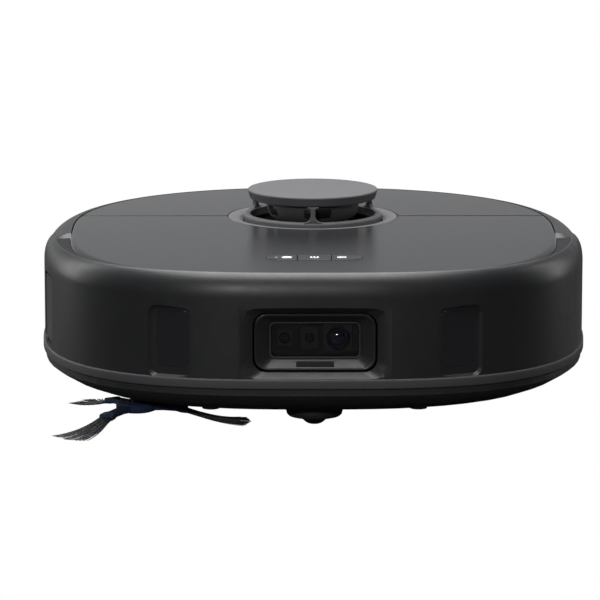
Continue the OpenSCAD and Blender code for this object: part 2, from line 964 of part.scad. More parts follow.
module dust_bin() {
    color("#3c4046")
        difference() {
            span([-bin_w / 2, bin_front_y, bin_z], [bin_w / 2, bin_back_y, bin_top]);
            span([-bin_w / 2 + bin_t, bin_front_y + bin_t, bin_z + bin_t],
                 [bin_w / 2 - bin_t, bin_back_y - filter_d - 2 * bin_t, bin_top - bin_t]);
            // Filter seat, open to the back
            span([-bin_w / 2 + 8, bin_back_y - filter_d - bin_t, bin_z + 5],
                 [bin_w / 2 - 8, bin_back_y + 1, bin_top - 5]);
            // Air way from the bin to the filter
            span([-bin_w / 2 + 14, bin_back_y - filter_d - 3 * bin_t, bin_z + 8],
                 [bin_w / 2 - 14, bin_back_y - filter_d, bin_top - 8]);
            // Mouth over the roller brush
            span([-28, roller_y - 10, bin_z - 1], [28, roller_y + 10, bin_z + bin_t + 1]);
            // Finger grip in the top
            span([-20, bin_front_y + 12, bin_top - 1], [20, bin_front_y + 26, bin_top + 1]);
        }
}

filter_d = 12;

module bin_filter() {
    pleats = 10;
    pitch = (bin_w - 24) / pleats;
    color("#d9d6cc")
        difference() {
            span([-bin_w / 2 + 8.2, bin_back_y - filter_d - bin_t + 0.2, bin_z + 5.2],
                 [bin_w / 2 - 8.2, bin_back_y - 1, bin_top - 5.2]);
            for (i = [0 : pleats - 1])
                span([-bin_w / 2 + 12 + pitch * (i + 0.25), bin_back_y - 6, bin_z + 8],
                     [-bin_w / 2 + 12 + pitch * (i + 0.75), bin_back_y, bin_top - 8]);
        }
}

module blower_housing() {
    z0 = floor_z + 0.5;
    color("#2d3338")
        difference() {
            union() {
                z_rod(blower_r, blower_x, blower_y, z0, z0 + blower_h);
                span([blower_x, blower_y - blower_r, z0], [blower_x + 44, blower_y - 4, z0 + 20]);
            }
            z_rod(blower_r - 2, blower_x, blower_y, z0 + 12, z0 + blower_h - 2);
            z_rod(11, blower_x, blower_y, z0 + 12, z0 + blower_h + 1);
            span([blower_x, blower_y - blower_r + 2, z0 + 12], [blower_x + 45, blower_y - 6, z0 + 18]);
            z_rod(2 + run_fit, blower_x, blower_y, z0 + 2, z0 + 13);
        }
}

module impeller() {
    z0 = floor_z + 13;
    color("#b8bcc0") {
        z_rod(2, blower_x, blower_y, z0 - 10, z0 + 1);
        z_rod(19, blower_x, blower_y, z0 + 0.5, z0 + 2);
        z_rod(5, blower_x, blower_y, z0 + 1.5, z0 + 12);
        for (i = [0 : 6])
            translate([blower_x, blower_y, z0 + 1.5])
                rotate([0, 0, i * 360 / 7])
                    translate([4, -0.6, 0])
                        cube([14, 1.2, 9]);
    }
}

// ---------- electronics and tank ----------

module main_board() {
    z0 = floor_z + blower_h + 6;
    y0 = bin_back_y + 3;
    color("#14502f")
        span([-62, y0, z0], [62, y0 + 46, z0 + 1.6]);
    color("#26282b") {
        span([-20, y0 + 6, z0 + 1.5], [2, y0 + 28, z0 + 3.6]);
        span([14, y0 + 8, z0 + 1.5], [30, y0 + 24, z0 + 4]);
        span([-54, y0 + 4, z0 + 1.5], [-44, y0 + 40, z0 + 7]);
        span([46, y0 + 4, z0 + 1.5], [56, y0 + 40, z0 + 7]);
    }
}

module battery_pack() {
    z0 = floor_z + pack_gap;
    color("#2f4f7d")
        difference() {
            span([-battery_w / 2, battery_front_y + 1, z0],
                 [battery_w / 2, battery_front_y + battery_d, z0 + battery_h]);
            for (i = [-1, 1])
                span([i * 22 - 0.6, battery_front_y, z0 + battery_h - 1],
                     [i * 22 + 0.6, battery_front_y + battery_d + 1, z0 + battery_h + 1]);
        }
}

module battery_cover() {
    color("#161718")
        difference() {
            span([-battery_w / 2 - 3.7, battery_front_y - 0.7, pan_z],
                 [battery_w / 2 + 3.7, battery_front_y + battery_d + 2.7, pan_z + pan_t]);
            for (x = [-1, 1])
                z_rod(2.2, x * (battery_w / 2 - 3), battery_front_y + 6, LOW, pan_z + 1.4);
        }
}

module speaker() {
    color("#1f2022")
        difference() {
            z_rod(17, 98, -106, floor_z + 6, floor_z + 22);
            z_rod(13, 98, -106, floor_z + 5, floor_z + 9);
        }
}

// Solid that follows the body's rear, between the turret's base and the rear wall
module tank_block(inset) {
    intersection() {
        span([-78 + inset, turret_y + base_r + 1.5 + inset, tank_z + inset],
             [78 - inset, rear_y, tray_z - 1.5 - inset]);
        translate([0, 0, tank_z - 1])
            linear_extrude(100)
                polygon(body_line(20 + inset));
    }
}

module water_tank() {
    color("#5f7386")
        difference() {
            tank_block(0);
            tank_block(2);
            z_rod(5, -40, turret_y + base_r + 18, tray_z - 6, HIGH);
        }
}

// ---------- roller brush ----------

module brush_guard() {
    x0 = tunnel_end + 10;
    y0 = tunnel_r + 7;
    color("#1a1b1c")
        difference() {
            span([-x0, roller_y - y0, pan_z - 2.4], [x0, roller_y + y0, pan_z - 0.05]);
            span([-tunnel_end + 1, roller_y - tunnel_r + 1, LOW],
                 [tunnel_end - 1, roller_y + tunnel_r - 1, HIGH]);
        }
}

module brush_motor() {
    x0 = tunnel_end + tunnel_t + 0.3;
    color("#3a3d41")
        difference() {
            union() {
                span([x0, roller_y - 16, floor_z + 1], [x0 + 20, roller_y + 12, roller_z + 20]);
                x_rod(min(7, roller_z - floor_z - 0.5), x0, x0 + 23, roller_y, roller_z);
            }
            x_rod(stub_r + run_fit, x0 - 1, x0 + 12, roller_y, roller_z);
        }
}

module roller_core() {
    color("#1f2a44")
        union() {
            x_rod(core_r, -roller_l / 2, roller_l / 2, roller_y, roller_z);
            x_rod(core_r + 3, -roller_l / 2, -roller_l / 2 + 2, roller_y, roller_z);
            x_rod(core_r + 3, roller_l / 2 - 2, roller_l / 2, roller_y, roller_z);
            x_rod(stub_r, -tunnel_end - tunnel_t + 0.3, tunnel_end + tunnel_t + 10, roller_y, roller_z);
        }
}

module roller_fins() {
    fins = 6;
    color("#20242c")
        translate([0, roller_y, roller_z])
            for (i = [0 : fins - 1])
                rotate([i * 360 / fins, 0, 0])
                    span([-roller_l / 2 + 2.2, -1.1, core_r], [roller_l / 2 - 2.2, 1.1, roller_r]);
}

// ---------- side brush ----------

side_brush_turn = 2;
hub_z = 6.5;

module side_brush_motor() {
    color("#3a3d41")
        difference() {
            union() {
                z_rod(15, side_brush_x, side_brush_y, floor_z + 7.5, floor_z + 22);
                z_rod(10, side_brush_x, side_brush_y, floor_z + 20, floor_z + 34);
            }
            z_rod(stub_r + run_fit, side_brush_x, side_brush_y, LOW, floor_z + 18);
        }
}

module side_brush_hub() {
    color("#1b2740") {
        z_rod(12, side_brush_x, side_brush_y, hub_z, hub_z + 5);
        z_rod(stub_r, side_brush_x, side_brush_y, hub_z + 4, floor_z + 16);
        translate([side_brush_x, side_brush_y, 0])
            for (i = [0 : 2])
                rotate([0, 0, side_brush_turn + 120 * i])
                    hull() {
                        span([8, -4, hub_z + 1], [9, 4, hub_z + 4.5]);
                        span([35, -4, 4.5], [36, 4, 7.5]);
                    }
    }
}

module side_brush_bristles() {
    color("#2a2c2f")
        translate([side_brush_x, side_brush_y, 0])
            for (i = [0 : 2])
                rotate([0, 0, side_brush_turn + 120 * i]) {
                    hull() {
                        span([36, -4, 4.5], [37, 4, 7.5]);
                        span([46, -6.5, 0.4], [47, 6.5, 1.2]);
                    }
                    hull() {
                        span([46, -6.5, 0.4], [47, 6.5, 1.2]);
                        span([side_brush_reach - 1, -11, 0.4], [side_brush_reach, 11, 1.2]);
                    }
                }
}

// ---------- caster ----------

caster_house_r = 17;
fork_r = 14;
fork_top = caster_r * 2 + 5;
stem_r = 6;
caster_trail = 2;
axle_r = 1.5;

module caster_housing() {
    color("#121314")
        translate([0, -caster_y, 0])
            rotate_extrude()
                polygon([
                    [fork_r + 0.5, 6], [caster_house_r - 1, 6], [caster_house_r - 0.2, 9],
                    [caster_house_r - 0.2, fork_top + 4], [stem_r + 3, fork_top + 4],
                    [stem_r + 3, fork_top + 14], [stem_r + run_fit, fork_top + 14],
                    [stem_r + run_fit, fork_top + 0.6], [fork_r + 0.5, fork_top + 0.6]
                ]);
}

module caster_fork() {
    color("#191a1b")
        difference() {
            union() {
                z_rod(fork_r, 0, -caster_y, caster_r - 4, fork_top);
                z_rod(stem_r, 0, -caster_y, fork_top - 1, fork_top + 12);
            }
            translate([0, -caster_y + caster_trail, 0]) {
                span([-caster_w / 2 - gap, -caster_r - 0.6, LOW],
                     [caster_w / 2 + gap, caster_r + 0.6, caster_r * 2 + 1]);
            }
        }
    color("#8a8d90")
        x_rod(axle_r, -fork_r + 1, fork_r - 1, -caster_y + caster_trail, caster_r);
}

module caster_wheel() {
    color("#232425")
        translate([0, -caster_y + caster_trail, caster_r])
            rotate([0, 90, 0])
                rotate_extrude()
                    polygon([
                        [axle_r + run_fit, -caster_w / 2], [caster_r * 0.62, -caster_w / 2],
                        [caster_r * 0.86, -caster_w * 0.34], [caster_r, -caster_w * 0.16],
                        [caster_r, caster_w * 0.16], [caster_r * 0.86, caster_w * 0.34],
                        [caster_r * 0.62, caster_w / 2], [axle_r + run_fit, caster_w / 2]
                    ]);
}

// ---------- drive wheels ----------

// Everything of one drive module is drawn for the right side and mirrored for the left
module on_side(side) {
    mirror([side < 0 ? 1 : 0, 0, 0])
        children();
}

module drive_arm(side) {
    x0 = arm_x - arm_w / 2;
    x1 = arm_x + arm_w / 2;
    on_side(side)
        difference() {
            union() {
                x_rod(19, x0, x1, 0, wheel_r);
                x_rod(arm_r, x0, x1, arm_y, wheel_r + arm_dz);
                span([x0, 0, wheel_r - 8], [x1, arm_y, wheel_r + 10]);
                x_rod(pivot_r, well_in_x - well_t, x1 + 3, arm_y, wheel_r + arm_dz);
            }
            x_rod(shaft_r + run_fit, x0 + 3, x1 + 1, 0, wheel_r);
        }
}

module wheel_hub(side) {
    x0 = wheel_x - tyre_w / 2;
    rim_r = wheel_r - 6;
    on_side(side)
        difference() {
            union() {
                x_rod(rim_r, x0 + 0.5, x0 + tyre_w - 0.5, 0, wheel_r);
                x_rod(shaft_r, arm_x - arm_w / 2 + 4, x0 + 1, 0, wheel_r);
            }
            x_rod(rim_r - 3, x0 + tyre_w - 6, x0 + tyre_w + 1, 0, wheel_r);
        }
}

module tyre(side) {
    x0 = wheel_x - tyre_w / 2;
    rim_r = wheel_r - 6;
    lugs = 24;
    lug_h = 2;
    on_side(side)
        difference() {
            x_rod(wheel_r, x0, x0 + tyre_w, 0, wheel_r);
            x_rod(rim_r, x0 - 1, x0 + tyre_w + 1, 0, wheel_r);
            translate([0, 0, wheel_r])
                for (i = [0 : lugs - 1])
                    rotate([(i + 0.5) * 360 / lugs, 0, 0])
                        span([x0 - 1, -1.2, -wheel_r - 1], [x0 + tyre_w + 1, 1.2, -wheel_r + lug_h]);
        }
}

module left_drive_arm() {
    color("#2b2e31") drive_arm(1);
}

module left_wheel_hub() {
    color("#3a3d41") wheel_hub(1);
}

module left_tyre() {
    color("#1a1a1b") tyre(1);
}

module right_drive_arm() {
    color("#2b2e31") drive_arm(-1);
}

module right_wheel_hub() {
    color("#3a3d41") wheel_hub(-1);
}

module right_tyre() {
    color("#1a1a1b") tyre(-1);
}

// Torsion springs on the pivots, drawn as closed turns between the well and the battery
module arm_springs() {
    wire_r = 0.6;
    coil_r = pivot_r + 1.6;
    color("#9a9da0")
        for (side = [-1, 1])
            on_side(side)
                translate([well_in_x - well_t - 0.8, arm_y, wheel_r + arm_dz])
                    rotate([0, -90, 0])
                        for (i = [0 : 3])
                            translate([0, 0, i * 1.15])
                                rotate_extrude()
                                    translate([coil_r, 0])
                                        circle(r = wire_r);
}

// ---------- mops ----------

module mop_carriage() {
    color("#33373c")
        difference() {
            union() {
                for (side = [-1, 1])
                    z_rod(22, side * mop_x, mop_y, carriage_z, carriage_z + carriage_h);
                span([-mop_x, mop_y - 15, carriage_z], [mop_x, mop_y + 15, carriage_z + carriage_h - 3]);
            }
            for (side = [-1, 1])
                z_rod(mop_shaft_r + run_fit, side * mop_x, mop_y, carriage_z - 1,
                      carriage_z + carriage_h - 3);
        }
}

module mop_plate(side) {
    x = side * mop_x;
    color("#4a4e54")
        difference() {
            union() {
                z_rod(plate_r, x, mop_y, pad_t, mop_top);
                z_rod(mop_shaft_r, x, mop_y, mop_top - 1, carriage_z + carriage_h - 5);
            }
            z_rod(10, x, mop_y, LOW, pad_t + 1.5);
        }
}

module mop_pad(side) {
    color("#b9b4aa")
        translate([side * mop_x, mop_y, 0])
            rotate_extrude()
                polygon([
                    [0, 0], [mop_r - 1.2, 0], [mop_r, 1.4], [mop_r, pad_t - 1.6],
                    [mop_r - 1.6, pad_t - 0.01], [0, pad_t - 0.01]
                ]);
}

module left_mop_plate() {
    mop_plate(1);
}

module left_mop_pad() {
    mop_pad(1);
}

module right_mop_plate() {
    mop_plate(-1);
}

module right_mop_pad() {
    mop_pad(-1);
}

chassis_pan();
side_shell();
inner_tray();
rear_cover();
front_lid();
turret_trim();
dock_key();
power_key();
spot_key();
key_board();
bumper_shell();
bumper_strip();
bumper_windows();
bumper_switches();
camera_frame();
camera_glass();
camera_sensors();
guard_ring();
guard_cap();
lidar_base();
lidar_head();
lidar_windows();
lidar_motor();
lidar_pulley();
lidar_belt();
dust_bin();
bin_filter();
blower_housing();
impeller();
exhaust_grille();
main_board();
battery_pack();
battery_cover();
speaker();
water_tank();
brush_guard();
brush_motor();
roller_core();
roller_fins();
side_brush_motor();
side_brush_hub();
side_brush_bristles();
caster_housing();
caster_fork();
caster_wheel();
left_drive_arm();
left_wheel_hub();
left_tyre();
right_drive_arm();
right_wheel_hub();
right_tyre();
arm_springs();
mop_carriage();
left_mop_plate();
left_mop_pad();
right_mop_plate();
right_mop_pad();
cliff_sensors();
charging_contacts();
case_screws();
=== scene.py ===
"""Looks of a robot vacuum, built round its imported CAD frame.

Metres in Blender, millimetres in the sizes below, +Z up, front towards -Y, origin on the floor.
"""

import json
import logging
import math
import random
from dataclasses import dataclass, field
from enum import Enum
from typing import Callable, Iterable, Sequence

import bmesh
import bpy
from mathutils import Matrix, Vector

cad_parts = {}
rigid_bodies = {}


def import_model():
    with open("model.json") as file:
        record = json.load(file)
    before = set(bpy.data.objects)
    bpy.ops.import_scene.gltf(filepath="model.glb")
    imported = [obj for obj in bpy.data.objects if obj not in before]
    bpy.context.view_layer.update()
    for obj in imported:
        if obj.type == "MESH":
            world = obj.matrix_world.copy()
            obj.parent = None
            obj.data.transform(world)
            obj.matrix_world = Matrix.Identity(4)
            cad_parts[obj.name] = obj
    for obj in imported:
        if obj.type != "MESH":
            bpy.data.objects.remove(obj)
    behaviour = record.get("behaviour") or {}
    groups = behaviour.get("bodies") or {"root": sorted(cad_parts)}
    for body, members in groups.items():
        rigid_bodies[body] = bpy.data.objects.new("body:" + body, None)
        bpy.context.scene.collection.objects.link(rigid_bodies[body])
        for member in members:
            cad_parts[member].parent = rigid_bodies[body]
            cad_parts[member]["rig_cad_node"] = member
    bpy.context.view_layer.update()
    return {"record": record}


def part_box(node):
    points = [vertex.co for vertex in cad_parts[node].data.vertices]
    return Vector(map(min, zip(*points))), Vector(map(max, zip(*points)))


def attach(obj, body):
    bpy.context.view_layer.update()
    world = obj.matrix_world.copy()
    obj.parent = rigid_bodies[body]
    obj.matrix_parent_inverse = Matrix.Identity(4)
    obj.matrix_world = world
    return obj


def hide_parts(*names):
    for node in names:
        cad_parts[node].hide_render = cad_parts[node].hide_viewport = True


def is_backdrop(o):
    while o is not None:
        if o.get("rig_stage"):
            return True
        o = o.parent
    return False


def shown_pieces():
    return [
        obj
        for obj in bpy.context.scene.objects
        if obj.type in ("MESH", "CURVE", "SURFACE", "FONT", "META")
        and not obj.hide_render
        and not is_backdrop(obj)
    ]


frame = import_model()

MM = 0.001
LOG = logging.getLogger("robot_vacuum")

Colour = tuple[float, float, float]
Point = tuple[float, float, float]
Pair = tuple[float, float]
Piece = bpy.types.Object


# ---------- shader expressions ----------


class Tap:
    """The output of a node, on which maths can be written as an expression."""

    def __init__(self, sheet: "Sheet", socket: bpy.types.NodeSocket) -> None:
        """Keeps the node sheet and the socket."""
        self.sheet = sheet
        self.socket = socket

    def maths(self, operation: str, *values: "Tap | float") -> "Tap":
        """Adds one Math node.

        Args:
            operation: The Math node's operation.
            values: Its inputs in order.

        Returns:
            The node's result.
        """
        return self.sheet.add("ShaderNodeMath", {"operation": operation}, dict(enumerate(values)))

    def __add__(self, other: "Tap | float") -> "Tap":
        """self + other."""
        return self.maths("ADD", self, other)

    def __radd__(self, other: float) -> "Tap":
        """other + self."""
        return self.maths("ADD", other, self)

    def __sub__(self, other: "Tap | float") -> "Tap":
        """self - other."""
        return self.maths("SUBTRACT", self, other)

    def __rsub__(self, other: float) -> "Tap":
        """other - self."""
        return self.maths("SUBTRACT", other, self)

    def __mul__(self, other: "Tap | float") -> "Tap":
        """self * other."""
        return self.maths("MULTIPLY", self, other)

    def __rmul__(self, other: float) -> "Tap":
        """other * self."""
        return self.maths("MULTIPLY", other, self)

    def wave(self) -> "Tap":
        """The sine of self."""
        return self.maths("SINE", self)

    def spread(self, low: float, high: float) -> "Tap":
        """Stretches the range low..high of self to 0..1, clamped."""
        return self.sheet.add(
            "ShaderNodeMapRange", {"clamp": True}, {"Value": self, "From Min": low, "From Max": high}
        )


class Sheet:
    """The node sheet of one material or world."""

    def __init__(self, tree: bpy.types.NodeTree) -> None:
        """Empties the tree and keeps it."""
        self.tree = tree
        tree.nodes.clear()

    def add(
        self, kind: str, settings: dict | None = None, inputs: dict | None = None, out: str | int = 0
    ) -> Tap:
        """Adds a node, sets its settings, then its sockets.

        Args:
            kind: The node's type.
            settings: Its own settings, with a ramp's stops under "stops".
            inputs: Values or links by socket name or place.
            out: The output that is wanted.

        Returns:
            That output.
        """
        node = self.tree.nodes.new(kind)
        for key, value in (settings or {}).items():
            if key == "stops":
                ramp = node.color_ramp
                while len(ramp.elements) < len(value):
                    ramp.elements.new(0.5)
                for element, (place, colour) in zip(ramp.elements, value):
                    element.position = place
                    element.color = (*colour, 1.0)
            else:
                setattr(node, key, value)
        for key, value in (inputs or {}).items():
            if isinstance(value, Tap):
                self.tree.links.new(value.socket, node.inputs[key])
            elif isinstance(value, tuple) and len(value) == 3 and node.inputs[key].type == "RGBA":
                node.inputs[key].default_value = (*value, 1.0)
            else:
                node.inputs[key].default_value = value
        return Tap(self, node.outputs[out] if len(node.outputs) else node.inputs[0])

    def place(self) -> Tap:
        """The surface point in the object's own metres."""
        return self.add("ShaderNodeTexCoord", out="Object")

    def stretched(self, scale: Point) -> Tap:
        """The surface point, scaled differently along each axis."""
        return self.add(
            "ShaderNodeVectorMath", {"operation": "MULTIPLY"}, {0: self.place(), 1: scale}, out="Vector"
        )

    def noise(self, scale: float, detail: float = 2.0, rough: float = 0.5, at: Tap | None = None) -> Tap:
        """Fractal noise from 0 to 1.

        Args:
            scale: Blobs per metre.
            detail: Number of finer layers.
            rough: Strength of the finer layers.
            at: Where it is read, or the surface point.

        Returns:
            The noise.
        """
        return self.add(
            "ShaderNodeTexNoise",
            {},
            {"Vector": at or self.place(), "Scale": scale, "Detail": detail, "Roughness": rough},
        )

    def blend(self, low: Colour, high: Colour, share: Tap) -> Tap:
        """A colour between low and high.

        Args:
            low: Colour at share 0.
            high: Colour at share 1.
            share: How far it is towards high.

        Returns:
            The mixed colour.
        """
        return self.add("ShaderNodeValToRGB", {"stops": [(0.0, low), (1.0, high)]}, {"Fac": share})

    def bump(self, height: Tap, depth: float) -> Tap:
        """A normal from a height.

        Args:
            height: Height from 0 to 1.
            depth: What 1 is, in metres.

        Returns:
            The normal.
        """
        return self.add(
            "ShaderNodeBump", {}, {"Height": height, "Distance": depth, "Strength": 1.0}, out="Normal"
        )

    def finish(self, sockets: dict) -> None:
        """Adds the Principled shader with these sockets and its output."""
        shader = self.add("ShaderNodeBsdfPrincipled", {}, sockets)
        self.add("ShaderNodeOutputMaterial", {}, {"Surface": shader})


def mixed(colour: Colour, factor: float) -> Colour:
    """The colour made lighter or darker by a factor."""
    return tuple(min(1.0, c * factor) for c in colour)


@dataclass(frozen=True)
class Finish:
    """What every finish has.

    Attributes:
        name: The material's name.
        colour: Its main colour.
    """

    name: str
    colour: Colour

    def sockets(self, sheet: Sheet) -> dict:
        """Builds the pattern on a sheet and returns the Principled shader's sockets."""
        raise NotImplementedError

    def make(self) -> bpy.types.Material:
        """Builds the material."""
        material = bpy.data.materials.new(self.name)
        material.use_nodes = True
        sheet = Sheet(material.node_tree)
        sheet.finish(self.sockets(sheet))
        return material


@dataclass(frozen=True)
class Moulded(Finish):
    """Moulded plastic or rubber with a fine grain, patchy gloss and uneven colour.

    Attributes:
        rough: Middle roughness.
        swing: How far the roughness varies.
        grain: Grains per metre.
        grain_depth: Height of the grain in metres.
        mottle: Share by which the colour varies.
        coat: Clear coat weight.
        specular: Specular level.
        see: Alpha.
    """

    rough: float = 0.45
    swing: float = 0.06
    grain: float = 2200.0
    grain_depth: float = 0.00004
    mottle: float = 0.12
    coat: float = 0.0
    specular: float = 0.5
    see: float = 1.0

    def sockets(self, sheet: Sheet) -> dict:
        """Mottled colour, patchy roughness and a grain in the normal."""
        patches = sheet.noise(38.0, 3.0)
        specks = sheet.noise(self.grain, 1.0)
        shade = (patches * 0.7 + specks * 0.3).spread(0.3, 0.7)
        low, high = mixed(self.colour, 1 - self.mottle), mixed(self.colour, 1 + self.mottle)
        rub = sheet.noise(140.0, 4.0, 0.7).spread(0.35, 0.65)
        return {
            "Base Color": sheet.blend(low, high, shade),
            "Roughness": rub * (2 * self.swing) + (self.rough - self.swing),
            "Metallic": 0.0,
            "Specular IOR Level": self.specular,
            "Coat Weight": self.coat,
            "Coat Roughness": 0.08,
            "Alpha": self.see,
            "Normal": sheet.bump(specks, self.grain_depth),
        }


@dataclass(frozen=True)
class Brushed(Finish):
    """Metal with fine lines along X and rubbed patches.

    Attributes:
        rough: Middle roughness.
    """

    rough: float = 0.3

    def sockets(self, sheet: Sheet) -> dict:
        """Tarnished colour, and lines in the roughness and the normal."""
        lines = sheet.noise(1.0, 3.0, 0.6, sheet.stretched((300.0, 5200.0, 5200.0)))
        tarnish = sheet.noise(260.0, 4.0).spread(0.35, 0.7)
        return {
            "Base Color": sheet.blend(mixed(self.colour, 0.72), self.colour, tarnish),
            "Roughness": lines * 0.25 + tarnish * 0.1 + (self.rough - 0.15),
            "Metallic": 1.0,
            "Normal": sheet.bump(lines, 0.00002),
        }


@dataclass(frozen=True)
class Pile(Finish):
    """Looped cloth whose colour is painted shade, the dark put between the loops.

    Attributes:
        high: Colour of the loops.
        loops: Loops per metre.
        sheen: Sheen weight.
    """

    high: Colour
    loops: float = 620.0
    sheen: float = 0.4

    def sockets(self, sheet: Sheet) -> dict:
        """Loops and fibres in the normal, and in the colour painted shade that darkens the low places between
        the loops.
        """
        loops = sheet.add(
            "ShaderNodeTexVoronoi", {}, {"Vector": sheet.place(), "Scale": self.loops}, out="Distance"
        )
        fibre = sheet.noise(5200.0, 2.0)
        # painted shade: this height also turns the colour dark where it is low, between the loops
        height = (1.0 - loops) * 0.8 + fibre * 0.2
        return {
            "Base Color": sheet.blend(self.colour, self.high, height.spread(0.25, 0.9)),
            "Roughness": fibre * 0.2 + 0.75,
            "Sheen Weight": self.sheen,
            "Normal": sheet.bump(height, 0.0006),
        }


@dataclass(frozen=True)
class Board(Finish):
    """Circuit board lacquer with copper tracks under it."""

    def sockets(self, sheet: Sheet) -> dict:
        """Lighter, raised tracks between square cells."""
        cells = sheet.add(
            "ShaderNodeTexVoronoi",
            {"distance": "MANHATTAN", "feature": "F2"},
            {"Vector": sheet.place(), "Scale": 210.0},
            out="Distance",
        )
        tracks = (cells * 60.0).wave().spread(0.2, 0.6)
        return {
            "Base Color": sheet.blend(self.colour, mixed(self.colour, 2.2), tracks),
            "Roughness": 0.3 + tracks * 0.15,
            "Normal": sheet.bump(tracks, 0.00004),
        }


@dataclass(frozen=True)
class Lit(Finish):
    """Printed mark with a lamp behind it, uneven as light through ink is.

    Attributes:
        power: Emission strength.
    """

    power: float = 0.8

    def sockets(self, sheet: Sheet) -> dict:
        """Uneven ink and uneven light."""
        glow = sheet.noise(900.0, 2.0).spread(0.3, 0.7)
        return {
            "Base Color": sheet.blend(mixed(self.colour, 0.7), self.colour, glow),
            "Roughness": glow * 0.2 + 0.3,
            "Emission Color": sheet.blend(mixed(self.colour, 0.75), self.colour, glow),
            "Emission Strength": self.power,
        }


@dataclass(frozen=True)
class Weave(Finish):
    """Filter paper with crossing threads, painted shade in the hollows between them and a little dirt.

    Attributes:
        pitch: Threads per metre, times a whole turn.
    """

    pitch: float = 2600.0

    def sockets(self, sheet: Sheet) -> dict:
        """Threads in the normal, painted shade in the threads' hollows and dirt in the colour, dirt in the
        roughness too.
        """
        across = sheet.add("ShaderNodeSeparateXYZ", {}, {0: sheet.place()}, out="X")
        up = sheet.add("ShaderNodeSeparateXYZ", {}, {0: sheet.place()}, out="Z")
        threads = ((across * self.pitch).wave() * (up * self.pitch).wave()) * 0.5 + 0.5
        dirt = sheet.noise(60.0, 3.0)
        # painted shade: darker where the threads dip, mixed with patches of real dirt
        shade = threads * 0.4 + dirt * 0.6
        return {
            "Base Color": sheet.blend(mixed(self.colour, 0.7), self.colour, shade.spread(0.2, 0.8)),
            "Roughness": 0.8 + dirt * 0.15,
            "Normal": sheet.bump(threads, 0.0001),
        }


class Look(Enum):
    """The finishes of the robot, each made once."""

    DECK = Moulded("satin_deck", (0.013, 0.0133, 0.014), 0.25, 0.004, 5200.0, 0.0000002, 0.03)
    BODY = Moulded("grained_body", (0.014, 0.0145, 0.0155), 0.40, 0.03, 2600.0, 0.00003, 0.10, specular=0.42)
    PAN = Moulded("matte_pan", (0.026, 0.0265, 0.0275), 0.55, 0.07, 1900.0, 0.00007, 0.18, specular=0.35)
    LIP = Moulded("lip_plastic", (0.11, 0.111, 0.115), 0.42, 0.05, 2600.0, 0.00004, 0.10)
    TURRET = Moulded("turret_plastic", (0.008, 0.0082, 0.0088), 0.27, 0.01, 4200.0, 0.0000008, 0.06)
    GLOSS = Moulded("dark_gloss", (0.006, 0.006, 0.0065), 0.10, 0.03, 900.0, 0.000006, 0.25, coat=0.4)
    SMOKED = Moulded("smoked_window", (0.007, 0.0066, 0.007), 0.16, 0.03, 900.0, 4e-6, 0.25, specular=0.35)
    GLASS = Moulded("lens_cover", (0.004, 0.0045, 0.006), 0.04, 0.02, 700.0, 0.000002, 0.2, see=0.30)
    LENS = Moulded("coated_lens", (0.01, 0.016, 0.05), 0.05, 0.02, 600.0, 0.000002, 0.5, 1.0, 1.0)
    KEY = Moulded("key_plastic", (0.022, 0.0225, 0.0235), 0.30, 0.04, 3200.0, 0.00002, 0.08)
    LEDGE = Moulded("ledge_plastic", (0.005, 0.005, 0.0055), 0.55, 0.05, 2600.0, 0.00003, 0.2, specular=0.2)
    RUBBER = Moulded("tyre_rubber", (0.012, 0.012, 0.0125), 0.72, 0.08, 1500.0, 0.0001, 0.25, specular=0.3)
    HUB = Moulded("hub_plastic", (0.05, 0.052, 0.055), 0.42, 0.06, 1800.0, 0.00004, 0.15)
    GEARBOX = Moulded("gearbox_plastic", (0.045, 0.05, 0.056), 0.5, 0.07, 1500.0, 0.00006, 0.15)
    NAVY = Moulded("navy_rubber", (0.010, 0.020, 0.060), 0.48, 0.07, 1500.0, 0.00005, 0.2)
    BRISTLE = Moulded("nylon_bristle", (0.030, 0.031, 0.034), 0.42, 0.08, 5200.0, 0.00002, 0.5)
    PLATE = Moulded("mop_plate", (0.07, 0.075, 0.08), 0.45, 0.05, 1800.0, 0.00004, 0.12)
    BIN = Moulded("bin_plastic", (0.05, 0.055, 0.062), 0.22, 0.04, 1400.0, 0.00002, 0.12)
    TANK = Moulded("tank_plastic", (0.10, 0.13, 0.16), 0.2, 0.04, 1200.0, 0.00002, 0.1)
    WRAP = Moulded("battery_wrap", (0.03, 0.07, 0.18), 0.28, 0.05, 1100.0, 0.00005, 0.15)
    BELT = Moulded("belt_rubber", (0.012, 0.012, 0.012), 0.65, 0.06, 2400.0, 0.0001, 0.2)
    STEEL = Brushed("screw_steel", (0.55, 0.56, 0.57), 0.32)
    CONTACT = Brushed("contact_plating", (0.62, 0.55, 0.38), 0.24)
    # mop cloth: the first colour is painted shade between the loops, the second the loops' own colour
    CLOTH = Pile("mop_cloth", (0.05, 0.06, 0.075), (0.28, 0.31, 0.35))
    PAPER = Weave("filter_paper", (0.72, 0.70, 0.64))
    CIRCUIT = Board("board_green", (0.012, 0.07, 0.035))
    ICON = Lit("lit_icon", (0.85, 0.88, 0.92), 0.75)
    DIM_ICON = Lit("dim_icon", (0.42, 0.44, 0.47), 0.15)

    def material(self) -> bpy.types.Material:
        """The finish's material, made on first use."""
        return bpy.data.materials.get(self.value.name) or self.value.make()


